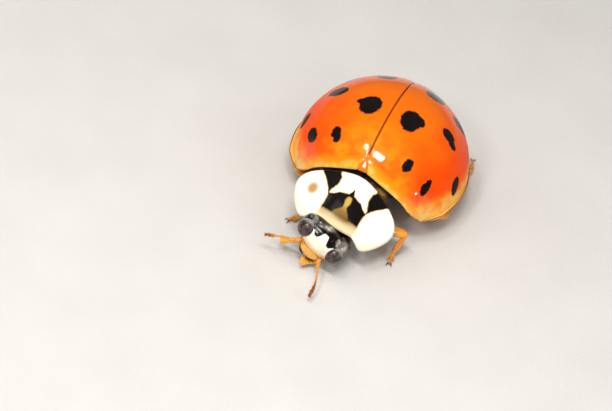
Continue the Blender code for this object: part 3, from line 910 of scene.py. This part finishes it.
# %% The capsule of the head
HEAD_CENTRE = Vector((-0.20, -4.29, 1.06))
HEAD_TURN = (-20.5, 28.0, 29.5)
HEAD_WHERE = (HEAD_CENTRE, HEAD_TURN)
HEAD = (
    # y, middle x, half width, top, bottom
    (0.58, 0.13, 0.02, -0.14, -0.20), (0.54, 0.13, 0.46, -0.02, -0.30), (0.43, 0.10, 0.69, 0.17, -0.42),
    (0.24, 0.03, 0.84, 0.39, -0.48), (0.04, 0.0, 0.86, 0.52, -0.50), (-0.18, 0.0, 0.78, 0.52, -0.50),
    (-0.36, 0.0, 0.62, 0.44, -0.44), (-0.50, 0.0, 0.50, 0.29, -0.38), (-0.58, 0.0, 0.40, 0.12, -0.32),
    (-0.625, 0.0, 0.34, 0.02, -0.26), (-0.64, 0.0, 0.02, -0.08, -0.12),
)
EYE_CENTRE = (0.60, -0.23, 0.18)
EYE_HALF = (0.29, 0.29, 0.34)
EYE_RIM = 1.06              # the middle of the swelling round an eye, in the radii of the eye
EYE_RIM_WIDTH = 0.05
EYE_RIM_LIFT = 0.012
GROOVE_Y = -0.60
GROOVE_WIDTH = 0.018
GROOVE_DEPTH = 0.02


def eye_distance(x, y, z):
    """The distance from the middle of the nearer eye, in its radii."""
    gaps = zip((np.abs(x), y, z), EYE_CENTRE, EYE_HALF)
    return np.sqrt(sum(((place - middle) / half) ** 2 for place, middle, half in gaps))


def head_grid():
    grid = loft(HEAD, 90, 110, power=2.15)
    x, y, z = grid[:, :, 0], grid[:, :, 1], grid[:, :, 2]
    lift = 1.0 + EYE_RIM_LIFT * np.exp(-((eye_distance(x, y, z) - EYE_RIM) / EYE_RIM_WIDTH) ** 2)
    x *= lift
    z *= lift
    groove = np.exp(-((y - GROOVE_Y - 0.5 * x ** 2) / GROOVE_WIDTH) ** 2) * (z > -0.1)
    z -= GROOVE_DEPTH * groove
    return grid


print("points in the head:", head_grid()[:, :, 0].size)

# %% [markdown]
# The face is cream with a black crown that comes down in two rounded teeth. The line between them is
# one height for each place across: it starts high in the middle, drops to the tip of the tooth and
# climbs again beside the eye. Below the cream lies a golden line, the edge of the clypeus. The pale
# clouded patches on the temples and the crown are painted reflections of light on the black chitin.

# %% The finish of the head
head_finish = chitin("head_finish", BLACK, gloss=0.8, depth=0.06, rough=0.18)
place = head_finish.place()
x, y, z = head_finish.split(head_finish.ragged(place, 7.0, 0.035))
x = abs(x)
crown_line = -0.02 - x.rise(0.06, 0.21) * 0.26 + x.rise(0.28, 0.44) * 0.13
mouth_line = x * x * 0.4 - 0.61
above_mouth = y - mouth_line
face = (crown_line - y).rise(-0.012, 0.02) * above_mouth.rise(-0.01, 0.02) * z.rise(-0.05, 0.05)
# painted reflection: pale clouds on the temples and the crown stand for light reflected by the black chitin
sheen_cloud = head_finish.noise(place, 5.0, 4.0).rise(0.42, 0.66)
painted_sheen = nearest_spot(head_finish, head_finish.flatten(head_finish.ragged(place, 5.0, 0.3)), (
    ((0.60, 0.13), (0.26, 0.26), 0), ((-0.62, 0.10), (0.14, 0.20), 0), ((-0.16, 0.17), (0.32, 0.13), 20),
)).rise(1.15, 0.3)
colour = head_finish.mix(painted_sheen * (0.25 + sheen_cloud * 0.75), BLACK, paint(218, 211, 200))
cream = head_finish.mix(above_mouth.rise(0.10, 0.0), paint(255, 248, 226), paint(255, 206, 130))
colour = head_finish.mix(face * x.rise(0.52, 0.47), colour, cream)
colour = head_finish.mix(above_mouth.rise(0.01, -0.01) * z.rise(-0.22, -0.12), colour, paint(200, 138, 52))
head_finish.feed("Base Color", colour)
head_finish.bump(head_finish.pits(place, 0.04) + head_finish.noise(place, 6.0), 0.005)
head = make_piece("head_capsule", [head_grid()], head_finish)
dress(head, HEAD_WHERE, "chitin", "head")

# %% [markdown]
# Each eye is a dome of several hundred lenses packed like a honeycomb. Points spread in a sunflower
# spiral sit as evenly as the lenses do, so every point of a fine sphere is lifted by how close it is
# to its nearest lens centre. That gives true small bulges, which break up the shine as real eyes do.

# %% The lenses of an eye
LENSES = 620
LENS_BULGE = 0.012
GOLDEN_ANGLE = pi * (3.0 - 5.0 ** 0.5)
lens_tree = kdtree.KDTree(LENSES)
for number in range(LENSES):
    height = 1.0 - 2.0 * (number + 0.5) / LENSES
    ring = (1.0 - height * height) ** 0.5
    lens_tree.insert((height, ring * cos(number * GOLDEN_ANGLE), ring * sin(number * GOLDEN_ANGLE)), number)
lens_tree.balance()


def make_eye(name, finish):
    lens_reach = (4 * pi / LENSES) ** 0.5 / 2
    shape = bmesh.new()
    bmesh.ops.create_icosphere(shape, subdivisions=6, radius=1.0)
    for point in shape.verts:
        gap = lens_tree.find(point.co)[2]
        bulge = 1.0 - LENS_BULGE * min(1.0, gap / lens_reach) ** 2
        point.co = [bulge * point.co[i] * EYE_HALF[i] * MM for i in range(3)]
    mesh = bpy.data.meshes.new(name)
    shape.to_mesh(mesh)
    shape.free()
    return make_object(mesh, finish)


print("lenses on the whole of each eye:", LENSES)

# %% [markdown]
# The eyes are dark and mottled. The paler patch at the back of each, next to the temples, is a painted
# reflection. They sit in the head's own axes, so their places are turned with it.

# %% The eyes
eye_finish = chitin("eye_finish", BLACK, gloss=0.8, rough=0.14)
place = eye_finish.place()
mottle = eye_finish.noise(place, 7.0)
colour = eye_finish.mix(mottle.rise(0.35, 0.65), paint(34, 22, 26), paint(84, 68, 66))
# painted reflection: the back of each eye is made paler
behind = eye_finish.split(place)[1] + (mottle - 0.5) * 0.2
colour = eye_finish.mix(behind.rise(0.0, 0.18) * 0.75, colour, paint(168, 166, 150))
eye_finish.feed("Base Color", colour)
eye_finish.bump(eye_finish.noise(place, 40.0), 0.001)
for side, word in ((1, "left"), (-1, "right")):
    centre = HEAD_CENTRE + turned(HEAD_TURN) @ (Vector(EYE_CENTRE) * Vector((side, 1, 1)))
    dress(make_eye("eye_" + word + "_lenses", eye_finish), (centre, HEAD_TURN), "eye", "eye_" + word)

# %% [markdown]
# ## Jointed parts
#
# Feelers, palps and legs are chains of short stiff pieces, each a little thicker towards its far end
# and rounded off at both. So one function makes a single link of such a chain, along any smooth path,
# round or flattened, and everything jointed is built from links.

# %% One link of a limb
PATH_STEPS = 64


def link(points, start, end, middle=None, flat=1.0, rows=18, sides=18, up=(0.0, 0.0, 1.0), blunt=0.12):
    """A rounded link along a path: its half width at the start, in the middle and at the end. blunt is
    the share of its length that each rounded end takes."""
    middle = 0.5 * (start + end) if middle is None else middle
    share = 0.5 - 0.5 * np.cos(np.linspace(0.0, pi, rows))
    path = resample(curve_through(points, PATH_STEPS), np.linspace(0, 1, PATH_STEPS), share)
    size = np.interp(share, (0.0, 0.5, 1.0), (start, middle, end))
    from_end = np.clip(np.minimum(share, 1.0 - share) / blunt, 0.0, 1.0)
    cap = np.sqrt(1.0 - (1.0 - from_end) ** 2)
    return tube(path, size * cap, sides, up, flat)


print("a link has", link([(0, 0, 0), (0, 1, 0)], 0.1, 0.1)[:, :, 0].size, "points")

# %% [markdown]
# Limbs and mouth parts are thin, amber chitin that light passes through. Only the claws and the tips
# of the jaws are dark, because there the chitin is hardened.

# %% The finish of the amber parts
AMBER_DEPTH = 0.10


def amber(name, low, high, depth=AMBER_DEPTH, tip=None):
    """Amber in clouds of two colours. tip is the colour of the far end of the feelers."""
    finish = chitin(name, high, gloss=0.6, depth=depth)
    place = finish.place()
    colour = finish.mix(finish.noise(place, 5.0), low, high)
    if tip:
        far = finish.length(place) + (finish.noise(place, 9.0) - 0.5) * 0.2
        colour = finish.mix(far.rise(1.40, 1.75), colour, tip)
    finish.feed("Base Color", colour)
    finish.bump(finish.noise(place, 30.0), 0.004)
    return finish


mouth_finish = amber("mouth_finish", paint(232, 146, 44), paint(255, 200, 96))
limb_finish = amber("limb_finish", paint(196, 104, 24), paint(255, 176, 66))
dark_finish = amber("claw_finish", paint(50, 22, 10), paint(110, 52, 18), depth=0.0)
feeler_finish = amber("feeler_finish", paint(224, 124, 34), paint(255, 172, 70), tip=paint(150, 70, 34))
print("light goes", AMBER_DEPTH, "mm into amber and not at all into claws")

# %% [markdown]
# The mouth shows from above as a golden upper lip, and the tips of the two jaws below it. The lip is
# one more loft, with flatter sections than the head's, and each jaw is a curved link that tapers.

# %% The upper lip and the jaws
LIP_RINGS = (
    # y, middle x, half width, top, bottom
    (-0.58, 0.0, 0.30, 0.00, -0.20), (-0.61, 0.0, 0.34, 0.04, -0.22), (-0.66, 0.0, 0.34, 0.00, -0.22),
    (-0.72, 0.0, 0.28, -0.06, -0.21), (-0.77, 0.0, 0.17, -0.11, -0.20), (-0.79, 0.0, 0.02, -0.14, -0.17),
)
JAW = np.array(((0.30, -0.56, -0.26), (0.24, -0.74, -0.27), (0.05, -0.83, -0.26)))
LIP_GRID = loft(LIP_RINGS, 30, 48, power=2.4)
dress(make_piece("upper_lip", [LIP_GRID], mouth_finish), HEAD_WHERE, "limb", "mouth_plate")
jaws = [link(JAW * (side, 1, 1), 0.07, 0.015, flat=0.7) for side in (1, -1)]
dress(make_piece("jaw_tips", jaws, dark_finish), HEAD_WHERE, "limb")

# %% [markdown]
# At each side hangs a jaw palp, with which the beetle tastes. Its last link widens like a hatchet:
# it is a flat link, set on edge by its own upward direction.

# %% The palps
PALPS = {
    "left": ((0.40, -0.58, -0.34), (0.36, -0.74, -0.42), (0.28, -0.80, -0.42), (0.02, -0.98, -0.36)),
    "right": ((-0.33, -0.54, -0.36), (-0.50, -0.66, -0.52), (-0.62, -0.72, -0.58), (-0.86, -0.92, -0.62)),
}
HATCHET_UP = (0.0, 0.3, 1.0)
PALP_GRIDS = {}
for word, path in PALPS.items():
    hatchet = link(path[2:], 0.05, 0.17, middle=0.125, flat=0.36, up=HATCHET_UP, rows=24, blunt=0.10)
    PALP_GRIDS[word] = [link(path[:2], 0.045, 0.055), link(path[1:3], 0.05, 0.06), hatchet]
    palp = make_piece("palp_" + word + "_links", PALP_GRIDS[word], mouth_finish)
    dress(palp, HEAD_WHERE, "limb", "palp_" + word)

# %% [markdown]
# A feeler has eleven links: a stout first one in its socket beside the eye, a rounded second, six
# slim ones, and a loose club of three. Their lengths and widths are given once, as shares, for both
# feelers. Each link reaches a little into its neighbours, so the joints are closed.

# %% The links of a feeler
FEELER_LENGTHS = (2.2, 1.3, 1.3, 0.9, 0.9, 0.8, 0.8, 0.8, 1.1, 1.1, 1.3)
FEELER_WIDTHS = (0.078, 0.056, 0.034, 0.030, 0.030, 0.030, 0.031, 0.035, 0.054, 0.064, 0.056)
OVERLAP = 0.12              # of a link's length, at its start, and half as much at its end


def feeler_grids(path):
    whole = curve_through(path, 120)
    marks = far_along(whole)
    ends = np.concatenate(([0.0], np.cumsum(FEELER_LENGTHS))) / sum(FEELER_LENGTHS)
    grids = []
    for start, end, width in zip(ends[:-1], ends[1:], FEELER_WIDTHS):
        reach = OVERLAP * (end - start)
        shares = np.linspace(max(0.0, start - reach), min(1.0, end + reach * 0.5), 4)
        points = resample(whole, marks, shares * marks[-1])
        grids.append(link(points, 0.62 * width, width, middle=0.92 * width, blunt=0.22))
    return grids


print("links in a feeler:", len(FEELER_LENGTHS))

# %% [markdown]
# The left feeler reaches forward, and the right one out to its side. Each is a curve through a few
# points in the head's own axes.

# %% The feelers
FEELER_PATHS = {
    "left": ((0.40, -0.60, -0.02), (0.43, -0.76, 0.14), (0.54, -0.95, 0.33), (0.70, -1.22, 0.45),
             (0.82, -1.48, 0.52), (0.91, -1.83, 0.60)),
    "right": ((-0.42, -0.56, -0.06), (-0.62, -0.72, -0.14), (-0.95, -0.94, -0.19), (-1.36, -1.24, -0.27)),
}
FEELER_GRIDS = {word: feeler_grids(path) for word, path in FEELER_PATHS.items()}
for word, grids in FEELER_GRIDS.items():
    feeler = make_piece("feeler_" + word + "_links", grids, feeler_finish)
    dress(feeler, HEAD_WHERE, "limb", "feeler_" + word)

# %% [markdown]
# ## The legs
#
# A leg runs from its hip in the belly through a stout thigh and a slender shin to a foot. The places
# of hip, knee, ankle and toe are all that differs between the six legs. The feet stand on the floor.

# %% Where the legs stand
LEGS = {
    # hip, knee, ankle, toe
    "front_left": ((0.50, -2.75, 0.72), (1.97, -2.56, 0.90), (1.74, -2.84, 0.24), (1.80, -3.20, 0.0)),
    "front_right": ((-0.50, -2.75, 0.72), (-1.66, -2.42, 0.72), (-1.44, -2.94, 0.24), (-1.70, -3.20, 0.0)),
    "middle_left": ((1.00, -1.10, 0.74), (2.70, -0.97, 0.78), (2.50, -0.22, 0.22), (2.52, 0.40, 0.0)),
    "middle_right": ((-1.00, -1.10, 0.74), (-2.05, -1.80, 0.78), (-2.42, -0.95, 0.22), (-2.60, -0.30, 0.0)),
    "hind_left": ((0.80, 0.55, 0.76), (1.78, 1.32, 0.66), (2.50, 2.06, 0.22), (2.32, 2.84, 0.0)),
    "hind_right": ((-0.80, 0.55, 0.76), (-1.84, 1.26, 0.66), (-2.36, 2.02, 0.22), (-2.46, 2.72, 0.0)),
}
BOW = (0.0, 0.0, 0.04)      # how far thigh and shin bow upwards in the middle


def upper_leg(hip, knee, ankle):
    """The links of the thigh, with its short root in the belly, and of the shin. Each overlaps the
    next a little, so that the joints are closed."""
    outward = unit(knee - hip)
    root = link([hip - outward * 0.10, hip + outward * 0.22], 0.17, 0.12, flat=0.9, rows=14)
    path = [hip + outward * 0.10, (hip + knee) / 2 + BOW, knee + outward * 0.03]
    thigh = link(path, 0.12, 0.16, middle=0.21, flat=0.75, blunt=0.16)
    path = [knee - outward * 0.03, (knee + ankle) / 2 + BOW, ankle]
    return [root, thigh], [link(path, 0.085, 0.085, middle=0.09, flat=0.85)]


print("feet on the floor:", sum(places[3][2] == 0.0 for places in LEGS.values()))

# %% [markdown]
# A foot has four links: two of them widened to hairy pads, a tiny one hidden between their lobes, and
# a slender last one that arches over to the pair of claws. Each claw has a tooth at its base.

# %% The feet
# start and end, as shares of the foot, and half width there
FOOT_LINKS = ((0.00, 0.30, 0.055, 0.085), (0.24, 0.52, 0.060, 0.105), (0.46, 0.60, 0.045, 0.050))
FOOT_HEIGHT = 0.075


def foot_and_claws(ankle, toe):
    ground = ankle * (1, 1, 0)
    foot_length = np.linalg.norm(toe - ground)
    ahead = (toe - ground) / foot_length

    def on_foot(share, height):
        return ground + ahead * foot_length * share + (0, 0, height)

    foot = []
    for start, end, low, high in FOOT_LINKS:
        heights = (FOOT_HEIGHT + (ankle[2] - FOOT_HEIGHT) * max(0.0, 1.0 - s / 0.30) for s in (start, end))
        points = [on_foot(share, height) for share, height in zip((start, end), heights)]
        foot.append(link(points, low, high, flat=0.62, rows=12))
    arch = [on_foot(0.50, 0.09), on_foot(0.74, 0.125), on_foot(0.92, 0.08)]
    foot.append(link(arch, 0.028, 0.042, rows=14))
    claws = []
    for side in (-1, 1):
        aside = np.array((-ahead[1], ahead[0], 0.0)) * side
        root = on_foot(0.92, FOOT_HEIGHT) + aside * 0.025
        bend = root + ahead * 0.05 + aside * 0.045 + (0, 0, 0.012)
        point = root + ahead * 0.11 + aside * 0.055 + (0, 0, -0.068)
        claws.append(link([root, bend, point], 0.022, 0.005, rows=12, sides=10))
        tooth = root + ahead * 0.035 + aside * 0.02 + (0, 0, -0.045)
        claws.append(link([root + ahead * 0.01, tooth], 0.014, 0.004, rows=8, sides=8))
    return foot, claws


print("claws of all feet:", 2 * len(LEGS))

# %% [markdown]
# The links of thigh, shin and foot are kept apart, because each stands for one solid of the packed
# model. The grids of shin and foot are kept as well, for the hairs that grow on them.

# %% Making the legs
LEG_GRIDS = []
for name, places in LEGS.items():
    hip, knee, ankle, toe = (np.array(place) for place in places)
    thigh, shin = upper_leg(hip, knee, ankle)
    foot, claws = foot_and_claws(ankle, toe)
    LEG_GRIDS += shin + foot
    for word, grids in (("thigh_", thigh), ("shin_", shin), ("foot_", foot)):
        dress(make_piece(word + name + "_links", grids, limb_finish), ON_FLOOR, "limb", word + name)
    dress(make_piece("claws_" + name, claws, dark_finish), ON_FLOOR, "limb")

# %% [markdown]
# ## Hairs
#
# A ladybird looks bald, but its feelers, palps, face and legs carry short pale hairs, and their rims
# of light make the thin parts look soft. Hair can be grown as curves, which suits fur. These few are
# slender three-sided spikes instead, which are plain meshes that every program shows. Each has two
# rings of three points and a tip, and bends down a little on its way.

# %% One hair
HAIR_POINTS = 7
HAIR_FACES = 7
HAIR_RINGS = ((0.0, 1.0), (0.55, 0.7))      # share of the length, and of the width
HAIR_BEND = (0.10, 0.18)                    # how far the middle and the tip hang, in lengths
ROOT_DEPTH = 0.004


def hair_points(root, outward, ahead, length, width):
    side = unit(np.cross(ahead, (0.31, 0.22, 0.92)))
    other = np.cross(ahead, side)
    points = []
    for share, size in HAIR_RINGS:
        middle = root - outward * (ROOT_DEPTH + HAIR_BEND[0] * length * share ** 2) + ahead * length * share
        points += [middle + (side * cos(t) + other * sin(t)) * width * size for t in turns(3)]
    return points + [root + (ahead - outward * HAIR_BEND[1]) * length]


def hair_faces(first):
    low, high, tip = range(first, first + 3), range(first + 3, first + 6), first + 6
    faces = []
    for k, n in ((0, 1), (1, 2), (2, 0)):
        faces += [(low[k], low[n], high[n], high[k]), (high[k], high[n], tip)]
    return faces + [(low[2], low[1], low[0])]


print("faces of a hair:", len(hair_faces(0)))

# %% [markdown]
# All hairs of one region are one mesh. They grow from the same grids as the limbs, at random places
# that are the same on every run, and lean towards the far end. When a model is exported, its finish
# is baked into a picture through a map. In that map each hair gets a tiny patch, at the place of its
# root on the unrolled grid, because so many slivers can't be unwrapped one by one.

# %% Growing hairs on grids
PATCH = 0.003
SPREAD = 0.12               # how much the directions of hairs differ
hair_finish = amber("hair_finish", paint(222, 176, 104), paint(250, 226, 170), depth=0.0)


def grow_hairs(name, grids, counts, length, width, lean, seed, keep=None):
    """Hairs on grids, so many on each; keep can turn down a place."""
    chance = np.random.default_rng(seed)
    points = []
    patches = []
    for number, (grid, count) in enumerate(zip(grids, counts)):
        rows, columns = grid.shape[:2]
        for _ in range(count):
            row = chance.uniform(0.10, 0.93) * (rows - 1)
            column = chance.uniform(0.0, columns)
            i, j = int(row), int(column) % columns
            root = grid[i, j]
            along = grid[i + 1, j] - root
            outward = unit(np.cross(grid[i, (j + 1) % columns] - root, along))
            if np.dot(outward, root - grid[i].mean(axis=0)) < 0:
                outward = -outward
            if keep and not keep(root, outward):
                continue
            ahead = unit(outward + unit(along) * lean + chance.normal(0.0, SPREAD, 3))
            points += hair_points(root, outward, ahead, length * chance.uniform(0.6, 1.1), width)
            patches.append(((number + 0.1 + 0.8 * column / columns) / len(grids), 0.05 + 0.9 * row / rows))
    mesh = bpy.data.meshes.new(name)
    faces = [face for hair in range(len(patches)) for face in hair_faces(hair * HAIR_POINTS)]
    mesh.from_pydata([tuple(point * MM) for point in points], [], faces)
    layer = mesh.uv_layers.new(name="OFBake")
    for polygon in mesh.polygons:
        u, v = patches[polygon.index // HAIR_FACES]
        for corner in polygon.loop_indices:
            point = mesh.loops[corner].vertex_index % HAIR_POINTS
            shift = (0.0, 0.5, 1.0)[point % 3]
            layer.data[corner].uv = (u + PATCH * (shift - 0.5), v + PATCH * (point / 6 - 0.5))
    print(f"{name}: {len(patches)} hairs")
    return make_object(mesh, hair_finish)


print("corners of a hair in the map:", sum(len(face) for face in hair_faces(0)))

# %% [markdown]
# The legs have the longest hairs and the widened links of the feet the fewest, as they are short.
# The clubs of the feelers and the hatchets of the palps are the hairiest parts.

# %% The hairs of legs, feelers and palps
counts = [160 if len(grid) > 14 else 70 for grid in LEG_GRIDS]
dress(grow_hairs("leg_hairs", LEG_GRIDS, counts, 0.075, 0.0045, 0.9, 11), ON_FLOOR, "limb")
for word, seed in (("left", 21), ("right", 22)):
    counts = [26] * 8 + [60] * 3
    hairs = grow_hairs("feeler_hairs_" + word, FEELER_GRIDS[word], counts, 0.055, 0.0035, 0.9, seed)
    dress(hairs, HEAD_WHERE, "limb")
    hairs = grow_hairs("palp_hairs_" + word, PALP_GRIDS[word], (20, 20, 120), 0.035, 0.003, 0.9, seed + 10)
    dress(hairs, HEAD_WHERE, "limb")

# %% [markdown]
# On the head, hairs stand only on the upper side in front, and none inside the eyes. The upper lip
# has a fringe of its own.

# %% The hairs of the face
def on_face(root, outward):
    return root[2] > -0.05 and root[1] < 0.15 and eye_distance(*root) > 1.05


face_hairs = grow_hairs("face_hairs", [head_grid()], (900,), 0.05, 0.003, 1.2, 31, on_face)
dress(face_hairs, HEAD_WHERE, "chitin")
dress(grow_hairs("lip_hairs", [LIP_GRID], (160,), 0.06, 0.003, 1.6, 32), HEAD_WHERE, "limb")

# %% [markdown]
# ## The setting
#
# A museum model stands on a plain pale floor. The floor reaches far beyond the view, so that no edge
# of it shows, and a slow noise keeps it from looking like empty space. It isn't part of the model, so
# it isn't tied to the body of the model.

# %% The floor
FLOOR_HALF = 60.0
floor_finish = Finish("floor_finish", {"Roughness": 0.75})
place = floor_finish.place()
floor_colour = floor_finish.mix(floor_finish.noise(place, 0.35), paint(212, 207, 200), paint(224, 220, 214))
floor_finish.feed("Base Color", floor_colour)
floor_finish.bump(floor_finish.noise(place, 14.0), 0.01)
corners = [[(x * FLOOR_HALF, y * FLOOR_HALF, 0.0) for x in (-1, 1)] for y in (-1, 1)]
floor = make_piece("floor", [corners], floor_finish, wrap=False)
settle(floor, *ON_FLOOR)
print("floor, mm across:", 2 * FLOOR_HALF)

# %% [markdown]
# Every glossy plate shows the lamps as reflections, so lamps are chosen by what they look like in the
# shell. The main one is a large soft panel, high in front of the beetle and a little to its left, with
# two smaller ones to its right and a low one beside it. The fill lamps light the rest evenly, and
# don't show in reflections.

# %% The lamps
DOME = MIDDLE + Vector((0.0, 0.0, RIM))
LAMP_DISTANCE = 60.0


def towards(azimuth, elevation):
    """A direction from the dome; azimuth 0 is in front of the beetle, and positive to its left."""
    turn, lift = radians(azimuth), radians(elevation)
    return Vector((sin(turn) * cos(lift), -cos(turn) * cos(lift), sin(lift)))


def lamp(name, azimuth, elevation, size, power, tilt=0.0, shines=True):
    """A soft panel aimed at the dome, turned on its own axis by tilt in degrees."""
    data = bpy.data.lights.new(name, "AREA")
    data.shape = "RECTANGLE"
    data.size, data.size_y = (side * MM for side in size)
    data.energy = power * MM * MM
    panel = bpy.data.objects.new(name, data)
    bpy.context.scene.collection.objects.link(panel)
    away = towards(azimuth, elevation)
    panel.location = (DOME + away * LAMP_DISTANCE) * MM
    facing = away.to_track_quat("Z", "Y").to_matrix()
    panel.rotation_euler = (facing @ Matrix.Rotation(radians(tilt), 3, "Z")).to_euler()
    panel.visible_camera = False
    panel.visible_glossy = shines


lamp("main_panel", 7.0, 62.5, (15.0, 8.0), 12500.0, tilt=-20.0)
lamp("second_panel", -32.0, 64.0, (9.0, 6.0), 5500.0)
lamp("front_panel", -10.0, 45.0, (9.0, 8.0), 7000.0)
lamp("side_panel", 69.0, 5.0, (5.0, 3.5), 1300.0)
lamp("fill_front", 10.0, 30.0, (40.0, 30.0), 2000.0, shines=False)
lamp("fill_left", 75.0, 40.0, (40.0, 40.0), 10000.0, shines=False)
lamp("fill_right", -75.0, 45.0, (40.0, 40.0), 8500.0, shines=False)
lamp("fill_top", 0.0, 80.0, (50.0, 50.0), 9000.0, shines=False)
print("lamps:", len(bpy.data.lights))

# %% [markdown]
# A faint white surrounding lifts the deepest shadows. The Standard view shows colours as they were
# chosen, where the usual one would soften the orange.

# %% The surroundings
AMBIENT = 0.12
world = bpy.data.worlds.new("studio")
world.use_nodes = True
background = world.node_tree.nodes["Background"]
background.inputs["Color"].default_value = (1.0, 1.0, 1.0, 1.0)
background.inputs["Strength"].default_value = AMBIENT
bpy.context.scene.world = world
bpy.context.scene.view_settings.view_transform = "Standard"
print("light from all round:", AMBIENT)

# %% [markdown]
# The camera looks down at the beetle from its front left with a long lens, as a macro lens does, so
# the view is nearly without perspective. It is turned a little on its own axis, which makes the
# beetle run across the picture. Its aim is worked out from where the middle of the dome falls in it.

# %% The camera
AZIMUTH = 12.62
ELEVATION = 42.38
ROLL = 14.73
DISTANCE = 169.2
LENS = 314.8
SENSOR = 36.0
DOME_RIGHT = 0.1216         # where the middle of the dome falls, from the middle of the frame,
DOME_UP = 0.0725            # in shares of the frame's width
CLIP_START = 10.0
CLIP_END = 2000.0

back = towards(AZIMUTH, ELEVATION)
level = Vector((0.0, 0.0, 1.0)).cross(back).normalized()
upright = back.cross(level)
spin = radians(ROLL)
right = level * cos(spin) + upright * sin(spin)
up = upright * cos(spin) - level * sin(spin)
camera_data = bpy.data.cameras.new("camera")
camera_data.lens = LENS
camera_data.sensor_width = SENSOR
camera_data.clip_start = CLIP_START * MM
camera_data.clip_end = CLIP_END * MM
camera = bpy.data.objects.new("camera", camera_data)
bpy.context.scene.collection.objects.link(camera)
ray = (right * (DOME_RIGHT * SENSOR / LENS) + up * (DOME_UP * SENSOR / LENS) - back) * DISTANCE
camera.matrix_world = Matrix.Translation((DOME - ray) * MM) @ Matrix((right, up, back)).transposed().to_4x4()
bpy.context.scene.camera = camera
print("height of the camera, mm:", round(camera.location.z / MM, 1))

# %% [markdown]
# The sizes of the packed model and of this one were printed side by side as each piece was placed.
